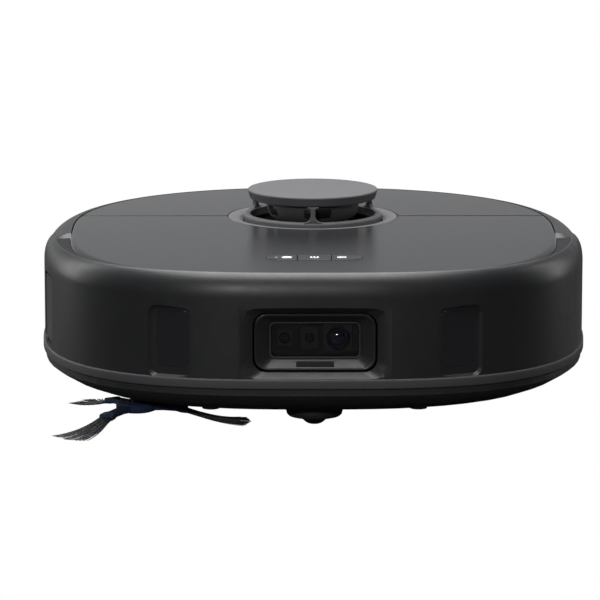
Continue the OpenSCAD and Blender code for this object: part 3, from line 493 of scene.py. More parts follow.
SLOT_LOOKS = {
    "body_shell": Look.BODY,
    "deck": Look.DECK,
    "pan_plastic": Look.PAN,
    "lip_plastic": Look.LIP,
    "dark_gloss": Look.GLOSS,
    "smoked_window": Look.SMOKED,
    "lens_glass": Look.GLASS,
    "turret_plastic": Look.TURRET,
    "tyre_rubber": Look.RUBBER,
    "hub_plastic": Look.HUB,
    "gearbox_plastic": Look.GEARBOX,
    "navy_rubber": Look.NAVY,
    "bristle": Look.BRISTLE,
    "mop_cloth": Look.CLOTH,
    "plate_plastic": Look.PLATE,
    "bin_plastic": Look.BIN,
    "filter_paper": Look.PAPER,
    "steel": Look.STEEL,
    "contact_metal": Look.CONTACT,
    "board_green": Look.CIRCUIT,
    "battery_wrap": Look.WRAP,
    "tank_plastic": Look.TANK,
    "belt_rubber": Look.BELT,
}


# ---------- mesh making ----------

BEVEL_FROM = 38.0
SHARP_FROM = 34.0
RING_STEPS = 480


def raw(points: Sequence[Point], faces: Sequence[Sequence[int]]) -> Piece:
    """Makes an object from points in millimetres.

    Args:
        points: Vertices.
        faces: Vertex numbers of each face.

    Returns:
        The object, with doubled points merged and normals outward.
    """
    mesh = bpy.data.meshes.new("raw")
    mesh.from_pydata([(x * MM, y * MM, z * MM) for x, y, z in points], [], faces)
    work = bmesh.new()
    work.from_mesh(mesh)
    bmesh.ops.remove_doubles(work, verts=work.verts, dist=1e-7)
    bmesh.ops.recalc_face_normals(work, faces=work.faces)
    work.to_mesh(mesh)
    work.free()
    obj = bpy.data.objects.new("raw", mesh)
    bpy.context.scene.collection.objects.link(obj)
    return obj


def loft(rings: Sequence[Sequence[Point]], wrap: bool = False) -> Piece:
    """Closed skin through closed rings of equal length.

    Args:
        rings: The rings in order.
        wrap: Whether the last ring joins the first, instead of flat ends.

    Returns:
        The object.
    """
    count = len(rings[0])
    points = [p for ring in rings for p in ring]
    faces: list[list[int]] = []
    for k in range(len(rings) if wrap else len(rings) - 1):
        low, high = k * count, ((k + 1) % len(rings)) * count
        for i in range(count):
            j = (i + 1) % count
            faces.append([low + i, low + j, high + j, high + i])
    if not wrap:
        faces.append(list(range(count))[::-1])
        faces.append(list(range((len(rings) - 1) * count, len(rings) * count)))
    return raw(points, faces)


def lathe(
    profile: Sequence[Pair], x: float = 0.0, y: float = 0.0, steps: int = 96, arc: Pair = (0.0, 360.0)
) -> Piece:
    """Turns a closed [radius, height] profile about an upright axis.

    Args:
        profile: Closed loop of points.
        x: Sideways place of the axis.
        y: Lengthways place of the axis.
        steps: Facets of a whole turn.
        arc: First and last angle in degrees.

    Returns:
        The object.
    """
    whole = arc[1] - arc[0] >= 359.9
    count = max(2, round(steps * (arc[1] - arc[0]) / 360))
    rings = []
    for i in range(count if whole else count + 1):
        t = math.radians(arc[0] + (arc[1] - arc[0]) * i / count)
        rings.append([(x + r * math.cos(t), y + r * math.sin(t), z) for r, z in profile])
    return loft(rings, wrap=whole)


def block(low: Point, high: Point) -> Piece:
    """Box from its lowest corner to its highest corner."""
    (x0, y0, z0), (x1, y1, z1) = low, high
    rings = [[(x0, y0, z), (x1, y0, z), (x1, y1, z), (x0, y1, z)] for z in (z0, z1)]
    return loft(rings)


def rounded(w: float, h: float, r: float, arc: int = 6) -> list[Pair]:
    """Rectangle with round corners about the middle.

    Args:
        w: Width.
        h: Height.
        r: Corner radius.
        arc: Steps in each corner.

    Returns:
        Its points, anticlockwise.
    """
    points = []
    for k, (sx, sy) in enumerate(((1, 1), (-1, 1), (-1, -1), (1, -1))):
        for i in range(arc + 1):
            t = math.radians(90 * k + 90 * i / arc)
            points.append((sx * (w / 2 - r) + r * math.cos(t), sy * (h / 2 - r) + r * math.sin(t)))
    return points


def upright(outline: Sequence[Pair], y: float, z: float, x: float = 0.0) -> list[Point]:
    """An outline stood up facing the front, about the point x, z."""
    return [(x + u, y, z + v) for u, v in outline]


def plate(size: Pair, radius: float, depths: Pair, z: float, x: float = 0.0) -> Piece:
    """Upright plate with round corners that runs from one depth to another."""
    return loft([upright(rounded(*size, radius), y, z, x) for y in depths])


def sweep(degrees: float, steps: int) -> list[float]:
    """Angles in radians from 0 to a number of degrees, in even steps."""
    return [math.radians(degrees * i / steps) for i in range(steps + 1)]


def moved(obj: Piece, matrix: Matrix) -> Piece:
    """Transforms an object's own points."""
    obj.data.transform(matrix)
    return obj


def along_x(obj: Piece, x: float, y: float, z: float) -> Piece:
    """Lays a lathed object's axis along X, with its origin at the point."""
    turn = Matrix.Rotation(math.radians(90), 4, "Y")
    return moved(obj, Matrix.Translation(Vector((x, y, z)) * MM) @ turn)


def along_y(obj: Piece, x: float, y: float, z: float) -> Piece:
    """Lays a lathed object's axis along -Y, with its origin at the point."""
    turn = Matrix.Rotation(math.radians(90), 4, "X")
    return moved(obj, Matrix.Translation(Vector((x, y, z)) * MM) @ turn)


def settle(obj: Piece) -> Piece:
    """Applies an object's modifiers to its mesh."""
    graph = bpy.context.evaluated_depsgraph_get()
    mesh = bpy.data.meshes.new_from_object(obj.evaluated_get(graph))
    obj.modifiers.clear()
    obj.data = mesh
    return obj


def joined(objs: Sequence[Piece]) -> Piece:
    """Puts several meshes in the first object, side by side."""
    work = bmesh.new()
    for obj in objs:
        work.from_mesh(obj.data)
    work.to_mesh(objs[0].data)
    work.free()
    for obj in objs[1:]:
        bpy.data.objects.remove(obj)
    return objs[0]


def shaped(obj: Piece, tools: Sequence[Piece], how: str = "DIFFERENCE") -> Piece:
    """Cuts tools from an object, or adds them.

    Args:
        obj: The object that changes.
        tools: Objects used up.
        how: DIFFERENCE, UNION or INTERSECT.

    Returns:
        The object.
    """
    for tool in tools:
        step = obj.modifiers.new("shape", "BOOLEAN")
        step.operation = how
        step.solver = "EXACT"
        step.object = tool
        bpy.context.view_layer.update()
        settle(obj)
        bpy.data.objects.remove(tool)
    return obj


def soften(obj: Piece, width: float) -> Piece:
    """Rounds the sharp edges a little and shades the rest smooth.

    Args:
        obj: The object.
        width: Width of the rounding, or 0 for none.

    Returns:
        The object.
    """
    if width:
        edge = obj.modifiers.new("edge", "BEVEL")
        edge.width = width * MM
        edge.segments = 2
        edge.limit_method = "ANGLE"
        edge.angle_limit = math.radians(BEVEL_FROM)
        edge.use_clamp_overlap = True
        settle(obj)
    obj.data.shade_smooth()
    obj.data.set_sharp_from_angle(angle=math.radians(SHARP_FROM))
    weigh = obj.modifiers.new("weigh", "WEIGHTED_NORMAL")
    weigh.keep_sharp = True
    return settle(obj)


def dress(
    obj: Piece, name: str, body: str, look: Look, stands_for: Iterable[str] = ()
) -> Piece:
    """Names and finishes a piece and puts it on its body.

    Args:
        obj: The piece.
        name: Its name.
        body: The CAD body that it rides on.
        look: Its finish.
        stands_for: CAD nodes that it replaces.

    Returns:
        The piece.
    """
    obj.name = name
    obj.data.name = name
    obj.data.materials.clear()
    obj.data.materials.append(look.material())
    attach(obj, body)
    if stands_for:
        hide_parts(*stands_for)
    LOG.info("%s on %s, %d faces", name, body, len(obj.data.polygons))
    return obj


def ease(share: float) -> float:
    """Smooth step of a share, held to 0..1."""
    s = min(1.0, max(0.0, share))
    return s * s * (3 - 2 * s)


def size_of(node: str) -> tuple[Vector, Vector]:
    """A CAD node's box in millimetres."""
    low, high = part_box(node)
    return Vector(low) / MM, Vector(high) / MM


# ---------- outlines ----------


@dataclass(frozen=True)
class Outline:
    """Closed outline of two superellipse halves that meet on the widest line.

    Attributes:
        half_w: Half the width.
        front: Depth from the widest line to the front.
        rear: Depth from the widest line to the rear.
        front_n: Squareness of the front half.
        rear_n: Squareness of the rear half.
        mid_y: Place of the widest line.
    """

    half_w: float
    front: float
    rear: float
    front_n: float
    rear_n: float
    mid_y: float

    def at(self, turn: float, inset: float = 0.0) -> Pair:
        """The point at a turn in radians, moved in by an inset."""
        c, s = math.cos(turn), math.sin(turn)
        depth, n = (self.front, self.front_n) if s < 0 else (self.rear, self.rear_n)
        reach = ((abs(c) / (self.half_w - inset)) ** n + (abs(s) / (depth - inset)) ** n) ** (-1 / n)
        return reach * c, self.mid_y + reach * s

    def turn_at(self, y: float, inset: float = 0.0) -> float:
        """The turn on the +X side where the outline crosses a line y, in radians."""
        low, high = -math.pi / 2, math.pi / 2
        for _ in range(50):
            middle = (low + high) / 2
            if self.at(middle, inset)[1] < y:
                low = middle
            else:
                high = middle
        return low

    def facing(self, turn: float, inset: float = 0.0) -> float:
        """Direction that the wall faces at a turn, in radians."""
        x0, y0 = self.at(turn - 0.002, inset)
        x1, y1 = self.at(turn + 0.002, inset)
        return math.atan2(-(x1 - x0), y1 - y0)

    def turns(self, first: float, last: float, step: float = 0.0125) -> list[float]:
        """Evenly spaced turns from first to last."""
        count = max(2, round((last - first) / step))
        return [first + (last - first) * i / count for i in range(count + 1)]

    def ring(self, inset: Callable[[float], float], z: Callable[[float], float]) -> list[Point]:
        """A whole ring whose inset and height may vary with the turn."""
        ring = []
        for i in range(RING_STEPS):
            turn = 2 * math.pi * i / RING_STEPS
            x, y = self.at(turn, inset(turn))
            ring.append((x, y, z(turn)))
        return ring

    def band(self, profile: Callable[[float], Sequence[Pair]], turns: Sequence[float]) -> Piece:
        """Sweeps a closed [inset, height] profile round part of the outline.

        Args:
            profile: The profile at a turn.
            turns: Where it is placed.

        Returns:
            The object.
        """
        return loft([[(*self.at(turn, inset), z) for inset, z in profile(turn)] for turn in turns])


# ---------- sub-assemblies ----------


@dataclass
class Body:
    """Driving sizes of the robot, read from the frame.

    Attributes:
        front_y: Front of the lip.
        rear_y: Rear of the shell.
        deck_z: Top of the deck.
        rim_z: Top of the underside pan.
        lip_top: Top of the lip.
        bumper_top: Top of the bumper's rim.
        wall_in: How far the walls stand in from the lip.
        wall_t: Thickness of the walls.
        lid_front_in: The deck panels' inset at the front.
        lid_rear_in: The deck panels' inset at the rear.
        mid_y: Place of the widest line.
        squareness: Squareness of the body's front and rear halves.
        lid_squareness: Squareness of the deck panels' front and rear halves.
        outline: The body's outline.
        lid: The deck panels' outline.
    """

    front_y: float = field(init=False)
    rear_y: float = field(init=False)
    deck_z: float = field(init=False)
    bumper_top: float = field(init=False)
    rim_z: float = 31.0
    lip_top: float = 37.2
    wall_in: float = 1.0
    wall_t: float = 2.2
    lid_front_in: float = 10.5
    lid_rear_in: float = 16.4
    mid_y: float = 7.2
    squareness: Pair = (2.98, 2.07)
    lid_squareness: Pair = (3.28, 2.27)
    outline: Outline = field(init=False)
    lid: Outline = field(init=False)

    def __post_init__(self) -> None:
        """Reads the boxes of the shells."""
        strip = size_of("bumper_strip")
        shell = size_of("side_shell")
        lid = size_of("rear_cover")
        self.front_y = strip[0].y
        self.rear_y = shell[1].y
        self.deck_z = lid[1].z
        self.bumper_top = size_of("bumper_shell")[1].z
        front, rear = self.mid_y - self.front_y, self.rear_y - self.mid_y
        lid_front, lid_rear = front - self.lid_front_in, rear - self.lid_rear_in
        self.outline = Outline(shell[1].x, front, rear, *self.squareness, self.mid_y)
        self.lid = Outline(lid[1].x, lid_front, lid_rear, *self.lid_squareness, self.mid_y)


@dataclass
class Bumper:
    """Sprung front bumper with its lip strip and sensor windows."""

    body: Body
    end_y: float = -31.0
    shoulder_z: float = 84.0
    shoulder_w: float = 8.6
    shoulder_h: float = 14.5
    rim_in: float = 8.0
    bezel: Pair = (84.4, 40.8)
    throat: Pair = (71.2, 34.6)
    camera_z: float = 57.8
    surround_half: float = 44.0
    prong_x: float = 62.0
    pocket_in: float = 70.0
    pocket: Point = (25.9, 39.6, 4.5)
    pocket_z: float = 57.6
    pocket_yaw: float = 22.0
    window: Point = (20.2, 33.0, 3.5)
    window_z: float = 59.4
    side_y: float = -74.0
    side_z: float = 60.6

    def profile(self) -> list[Pair]:
        """Closed section of the bumper's wall."""
        low, top, wall = self.body.lip_top + 0.05, self.body.bumper_top, self.body.wall_in
        points = [(wall, low)]
        points += [(wall, z) for z in (42.0, 48.0, 54.0, 60.0, 66.0, 72.0, 78.0)]
        for u in sweep(71, 14):
            points.append(
                (wall + self.shoulder_w * (1 - math.cos(u)), self.shoulder_z + self.shoulder_h * math.sin(u))
            )
        points += [(7.15, top + 0.18), (7.6, top + 0.1), (7.9, top - 0.15), (self.rim_in, top - 0.6)]
        points += [(self.rim_in, top - 1.25), (6.3, top - 1.4), (5.4, top - 3.0), (4.1, top - 5.8)]
        points += [(3.3, top - 9.2), (3.2, top - 14)]
        points += [(3.2, z) for z in (72.0, 60.0, 48.0, low)]
        return points

    def span(self) -> list[float]:
        """Turns from the bumper's left end round the front to its right end."""
        right = self.body.outline.turn_at(self.end_y, self.body.wall_in)
        return self.body.outline.turns(math.pi - right, 2 * math.pi + right)

    def pocket_block(self, side: int, depth: float, back: float, grow: float, flare: float) -> Piece:
        """Rounded plate that stands on the yawed floor of a sensor pocket.

        Args:
            side: -1 for the left, 1 for the right.
            depth: How far it reaches outward.
            back: How far it reaches inward.
            grow: What is added to the pocket's width and height.
            flare: What is added again at its outer face.

        Returns:
            The object.
        """
        w, h, radius = self.pocket
        rings = []
        for out, extra in ((-back, grow), (0.0, grow), (2.4, grow + flare), (depth, grow + flare)):
            if out > depth:
                continue
            flat = rounded(w + extra, h + extra, radius + extra / 2)
            rings.append([self.on_pocket(side, w / 2 + u, out, self.pocket_z + v) for u, v in flat])
        return loft(rings)

    def on_pocket(self, side: int, along: float, out: float, z: float) -> Point:
        """A point on a pocket's floor plane, along it from its inner edge and out from it."""
        yaw = math.radians(self.pocket_yaw)
        turn = -math.pi / 2
        for _ in range(400):
            if self.body.outline.at(turn, 1.0)[0] >= self.pocket_in:
                break
            turn += 0.002
        x, y = self.body.outline.at(turn, self.body.wall_in)
        x += along * math.cos(yaw) + out * math.sin(yaw)
        y += along * math.sin(yaw) - out * math.cos(yaw)
        return side * x, y, z

    def side_slot(self, w: float, h: float, r: float, out: float, back: float) -> Piece:
        """Rounded plate that stands on the left wall, where the wall sensor looks out."""
        turn = math.pi - self.body.outline.turn_at(self.side_y, 1.0)
        x0, y0 = self.body.outline.at(turn, self.body.wall_in)
        face = self.body.outline.facing(turn, 1.0)
        nx, ny = math.cos(face), math.sin(face)
        rings = []
        for reach in (-back, out):
            x, y = x0 + nx * reach, y0 + ny * reach
            rings.append([(x - ny * u, y + nx * u, self.side_z + v) for u, v in rounded(w, h, r)])
        return loft(rings)

    def funnel(self) -> Piece:
        """Flared cutter for the camera's opening."""
        (w, h), (inner_w, inner_h) = self.bezel, self.throat
        rings = []
        for depth, grow, r in ((-2.6, 1, 10.0), (1.6, 0, 9.0), (5.4, -1, 8.0), (30.0, -1, 8.0)):
            flat = rounded(w + grow * (w - inner_w), h + grow * (h - inner_h), r)
            rings.append(upright(flat, self.body.front_y + depth, self.camera_z))
        return loft(rings)

    def make(self) -> None:
        """Builds and dresses the bumper."""
        outline, front = self.body.outline, self.body.front_y
        section = self.profile()
        skin = outline.band(lambda t: section, self.span())
        half, prong = self.surround_half, self.prong_x
        surround = block((-half, front + 1.9, self.camera_z - 20.4), (half, front + 6.4, self.camera_z + 22))
        prongs = [block((s * prong - 3, front + 6, 47), (s * prong + 3, front + 17, 53)) for s in (-1, 1)]
        backs = [self.pocket_block(s, -0.05, 3.2, 1.0, 0.0) for s in (-1, 1)]
        skin = shaped(skin, [surround, *backs, *prongs], "UNION")
        cuts = [self.funnel(), *(self.pocket_block(s, 14.0, 0.0, -1.4, 4.8) for s in (-1, 1))]
        cuts.append(self.side_slot(29.0, 42.0, 6.0, 12.0, 1.5))
        skin = shaped(skin, cuts)
        dress(soften(skin, 0.25), "bumper_skin", "bumper", Look.BODY, ("bumper_shell",))

        lip_z = self.body.rim_z + 0.5
        top = self.body.lip_top
        lip = [
            (3.2, lip_z), (0.9, lip_z), (0.3, lip_z + 0.25), (0.0, lip_z + 0.9), (0.0, top - 1.1),
            (0.12, top - 0.55), (0.45, top - 0.15), (0.95, top), (3.2, top),
        ]
        strip = outline.band(lambda t: lip, self.span())
        dress(soften(strip, 0.0), "bumper_lip", "bumper", Look.LIP, ("bumper_strip",))

        w, h, r = self.window
        panes = []
        for side in (-1, 1):
            rings = []
            for out, less in ((-1.2, 0.0), (-0.15, 0.0), (0.12, 0.5)):
                flat = rounded(w - less, h - less, r)
                rings.append([self.on_pocket(side, 1.6 + w / 2 + u, out, self.window_z + v) for u, v in flat])
            panes.append(soften(loft(rings), 0.0))
        panes.append(soften(self.side_slot(26.0, 38.6, 5.0, -0.7, 2.2), 0.3))
        dress(joined(panes), "sensor_windows", "bumper", Look.SMOKED, ("bumper_windows",))


@dataclass
class Deck:
    """Front lid, rear cover, the ledge under them and the three keys."""

    body: Body
    hinge_y: float = 44.7
    lid_t: float = 3.4
    turret_y: float = 45.8
    hole_r: float = 52.8
    roll: Pair = (6.0, 2.7)
    side_roll: Pair = (1.3, 0.9)
    seam_x: float = 9.9
    mark_x: float = 16.0
    key_gap: float = 0.35

    def blank(self) -> Piece:
        """Whole deck plate with its rolled edge, wide at the front and fine at the rear."""
        top = self.body.deck_z

        def share(turn: float) -> float:
            return ease((-math.sin(turn) - 0.15) / 0.6)

        def roll_w(turn: float) -> float:
            return self.side_roll[0] + (self.roll[0] - self.side_roll[0]) * share(turn)

        def roll_h(turn: float) -> float:
            return self.side_roll[1] + (self.roll[1] - self.side_roll[1]) * share(turn)

        rings = [self.body.lid.ring(lambda t: 0.25, lambda t: top - self.lid_t)]
        for u in sweep(90, 8):
            rings.append(
                self.body.lid.ring(
                    lambda t, u=u: roll_w(t) * (1 - math.cos(u)),
                    lambda t, u=u: top - roll_h(t) * (1 - math.sin(u)),
                )
            )
        return loft(rings)

    def pill(self, grow: float, z0: float, z1: float) -> Piece:
        """Plate of the key row's outline, grown a little."""
        low, high = size_of("dock_key")[0], size_of("spot_key")[1]
        w, d, y = high.x - low.x + 2 * grow, high.y - low.y + 2 * grow, (low.y + high.y) / 2
        flat = rounded(w, d, d / 2 - 0.02, 12)
        return loft([[(u, y + v, z) for u, v in flat] for z in (z0, z1)])

    def turret_hole(self, low: float, high: float) -> Piece:
        """Round cutter for the turret's hole."""
        return lathe([(0, low), (self.hole_r, low), (self.hole_r, high), (0, high)], 0, self.turret_y, 160)

    def make(self) -> None:
        """Builds and dresses the deck."""
        top = self.body.deck_z
        low, high = -60.0, 200.0
        behind = block((-200, self.hinge_y, low), (200, 300, high))
        lid = shaped(self.blank(), [behind, self.pill(self.key_gap, 60, 120), self.turret_hole(low, high)])
        barrel_r = self.lid_t / 2
        arc = [(barrel_r * math.sin(a), barrel_r * math.cos(a)) for a in sweep(180, 15)]
        barrels = []
        for side in (-1, 1):
            x_in = side * math.sqrt(self.hole_r**2 - (self.hinge_y - self.turret_y) ** 2)
            x_out = side * (self.body.lid.at(self.body.lid.turn_at(self.hinge_y))[0] - 0.6)
            rings = [[(x, self.hinge_y + u, top - barrel_r + v) for u, v in arc] for x in (x_in, x_out)]
            barrels.append(soften(loft(rings), 0.0))
        lid = joined([soften(lid, 0.22), *barrels])
        dress(lid, "front_lid_panel", "lid", Look.DECK, ("front_lid",))

        ahead = block((-200, -300, low), (200, self.hinge_y + barrel_r + 0.3, high))
        cover = shaped(self.blank(), [ahead, self.turret_hole(low, high)])
        dress(soften(cover, 0.22), "rear_cover_panel", "chassis", Look.DECK, ("rear_cover",))
        self.make_ledge()
        self.make_keys()

    def make_ledge(self) -> None:
        """Shelf between the bumper's rim and the lid, wide at the front corners."""
        outline, lid, top = self.body.outline, self.body.lid, self.body.deck_z
        right = outline.turn_at(-29.5, 8.0)

        def section(turn: float) -> list[Pair]:
            x, y = lid.at(turn, -0.9)
            far = math.hypot(x, y - outline.mid_y)
            edge = math.hypot(*(a - b for a, b in zip(outline.at(turn), (0.0, outline.mid_y))))
            inner = max(9.3, edge - far)
            shelf = top - 1.9
            outside = [(8.5, shelf - 2.5), (8.5, shelf - 0.3), (8.8, shelf)]
            return outside + [(inner - 0.2, shelf), (inner, shelf - 0.2), (inner, shelf - 2.5)]

        ledge = outline.band(section, outline.turns(math.pi - right, 2 * math.pi + right))
        dress(soften(ledge, 0.0), "corner_ledge", "chassis", Look.LEDGE)

    def make_keys(self) -> None:
        """The three keys, cut from one rounded row, with their lit marks."""
        top = size_of("power_key")[1].z
        under = self.body.deck_z - self.lid_t + 0.8
        y = (size_of("power_key")[0].y + size_of("power_key")[1].y) / 2
        half = self.key_gap / 2
        for name, x0, x1 in (
            ("dock_key", -60.0, -self.seam_x - half),
            ("power_key", -self.seam_x + half, self.seam_x - half),
            ("spot_key", self.seam_x + half, 60.0),
        ):
            cap = shaped(self.pill(0.0, under, top), [block((x0, y - 30, 0), (x1, y + 30, 200))], "INTERSECT")
            low = size_of(name)[0].z
            middle = (size_of(name)[0].x + size_of(name)[1].x) / 2
            stem = lathe([(0, low), (2, low), (2, under + 0.5), (0, under + 0.5)], middle, y, 32)
            key = joined([soften(cap, 0.35), soften(stem, 0.0)])
            dress(key, f"{name}_cap", name, Look.KEY, (name,))
        self.mark_dock(-self.mark_x, y, top)
        self.mark_power(0.0, y, top)
        self.mark_spot(self.mark_x, y, top)

    def flat_mark(self, outline: Sequence[Pair], x: float, y: float, z: float) -> Piece:
        """Thin printed shape on a key."""
        return loft([[(x + u, y + v, z + h) for u, v in outline] for h in (-0.05, 0.06)])

    def mark_dock(self, x: float, y: float, z: float) -> None:
        """House mark of the dock key and the small dot beside it."""
        house = [(-2.6, -2.4), (2.6, -2.4), (2.6, 0.6), (3.4, 0.6), (0, 3.2), (-3.4, 0.6), (-2.6, 0.6)]
        mark = self.flat_mark(house, x, y, z)
        round_dot = [(0.9 * math.cos(a / 2), 0.9 * math.sin(a / 2)) for a in range(12)]
        dot = self.flat_mark(round_dot, x - 6.2, y, z)
        dress(soften(mark, 0.0), "dock_mark", "dock_key", Look.ICON)
        dress(soften(dot, 0.0), "child_lock_dot", "dock_key", Look.DIM_ICON)

    def mark_power(self, x: float, y: float, z: float) -> None:
        """Open ring with a bar, the common sign for power."""
        angles = [math.radians(a) for a in range(125, 416, 12)]
        ring = [(2.6 * math.cos(a), 2.6 * math.sin(a)) for a in angles]
        ring += [(1.9 * math.cos(a), 1.9 * math.sin(a)) for a in reversed(angles)]
        bar = [(-0.38, 0.4), (0.38, 0.4), (0.38, 3.1), (-0.38, 3.1)]
        marks = joined([self.flat_mark(ring, x, y, z), self.flat_mark(bar, x, y, z)])
        dress(soften(marks, 0.0), "power_mark", "power_key", Look.ICON)

    def mark_spot(self, x: float, y: float, z: float) -> None:
        """Dot in a broken ring, the sign for cleaning one spot."""
        marks = [self.flat_mark([(1.1 * math.cos(a / 3), 1.1 * math.sin(a / 3)) for a in range(19)], x, y, z)]
        for k in range(4):
            arc = [math.radians(90 * k + 12 + 66 * i / 6) for i in range(7)]
            outer = [(2.9 * math.cos(a), 2.6 * math.sin(a)) for a in arc]
            inner = [(2.2 * math.cos(a), 1.9 * math.sin(a)) for a in reversed(arc)]
            marks.append(self.flat_mark(outer + inner, x, y, z))
        dress(soften(joined(marks), 0.0), "spot_mark", "spot_key", Look.ICON)


@dataclass
class CameraWindow:
    """Camera frame, its dark pane and the sensors behind it."""

    body: Body
    z: float = 57.8
    pane_z: float = 58.4
    strip_z: float = 45.1
    pane: Pair = (50.8, 19.7)
    lens_x: float = 13.1
    lens_r: float = 6.8
    square_x: float = -17.3
    middle_x: float = -3.0
    divider_x: float = -10.2

    def make(self) -> None:
        """Builds and dresses the camera window."""
        low, high = size_of("camera_frame")
        front, back, w, h = low.y, high.y, high.x - low.x, high.z - low.z
        (pw, ph), z, pz = self.pane, self.z, self.pane_z
        rings = [
            upright(rounded(w, h, 7.5), back, z),
            upright(rounded(w, h, 7.5), front + 0.8, z),
            upright(rounded(w - 0.4, h - 0.4, 7.3), front + 0.25, z),
            upright(rounded(w - 1.4, h - 1.4, 6.9), front, z),
            upright(rounded(w - 3.0, h - 3.0, 6.5), front + 0.15, z),
            upright(rounded(w - 5.0, h - 4.4, 6.0), front + 1.0, z + 0.1),
            upright(rounded(pw + 3.2, ph + 3.0, 3.6), front + 3.9, pz),
            upright(rounded(pw + 0.7, ph + 0.7, 2.8), front + 4.4, pz),
            upright(rounded(pw + 0.6, ph + 0.6, 2.8), back, pz),
        ]
        shell = soften(loft(rings, wrap=True), 0.0)
        strip = soften(plate((21.6, 2.9), 0.5, (front + 0.55, front + 1.6), self.strip_z), 0.1)
        surround = joined([shell, strip])
        dress(surround, "camera_surround_frame", "chassis", Look.BODY, ("camera_frame",))
        edge = [
            upright(rounded(pw + g, ph + g, 2.7 + g / 2), y, pz)
            for g, y in ((1.1, front + 3.5), (1.1, front + 4.6), (-0.2, front + 4.6), (-0.2, front + 3.5))
        ]
        dress(soften(loft(edge, wrap=True), 0.12), "pane_edge", "chassis", Look.LIP)

        glass = plate(self.pane, 2.5, (front + 4.2, front + 5.4), pz)
        dress(soften(glass, 0.2), "camera_pane", "chassis", Look.GLASS, ("camera_glass",))
        self.make_sensors(front + 6.0)

    def barrel(self, profile: Sequence[Pair], x: float, y: float) -> Piece:
        """Lathed piece that looks forwards, with its heights measured forwards from y."""
        return soften(along_y(lathe(profile, steps=64), x, y, self.pane_z + 0.5), 0.0)

    def make_sensors(self, y: float) -> None:
        """The back plate, the square sensor, the middle sensor and the main lens."""
        pw, ph = self.pane
        back, face = y + 3.2, y + 1.6
        carrier = plate((pw - 0.6, ph - 0.6), 2.4, (back, back + 5.5), self.pane_z)
        divider = plate((1.2, 14.5), 0.4, (y + 0.6, back + 0.1), self.pane_z, self.divider_x)
        plates = [soften(carrier, 0.2), soften(divider, 0.1)]
        dress(joined(plates), "sensor_carrier", "chassis", Look.PAN, ("camera_sensors",))
        frames = []
        for x, w, h in ((self.square_x, 8.7, 10.0), (self.middle_x, 10.0, 13.0), (self.lens_x, 16.4, 16.0)):
            frames.append(soften(plate((w, h), 1.1, (face, back + 0.2), self.pane_z + 0.4, x), 0.35))
        dress(joined(frames), "sensor_blocks", "chassis", Look.LIP)
        r = self.lens_r
        sections = (
            (self.lens_x, [(4.6, -2), (r, -2), (r, 1.2), (6.2, 1.6), (5.4, 1.2), (4.6, -0.6)]),
            (self.square_x, [(1.9, -1), (3.3, -1), (3.3, 0.5), (2.9, 0.8), (1.9, 0.2)]),
            (self.middle_x, [(1.5, -1), (2.7, -1), (2.7, 0.4), (2.3, 0.6), (1.5, 0.1)]),
        )
        rings = [self.barrel(section, x, face) for x, section in sections]
        dress(joined(rings), "lens_rings", "chassis", Look.GLOSS)
        domes = []
        for x, r, rise in ((self.lens_x, 4.6, 2.1), (self.square_x, 1.9, 0.9), (self.middle_x, 1.5, 0.8)):
            cap = [(r * math.cos(a), -0.4 + rise * math.sin(a)) for a in sweep(90, 9)]
            domes.append(self.barrel([(0, -1.6), (r, -1.6), *cap], x, face))
        dress(joined(domes), "lens_domes", "chassis", Look.LENS)


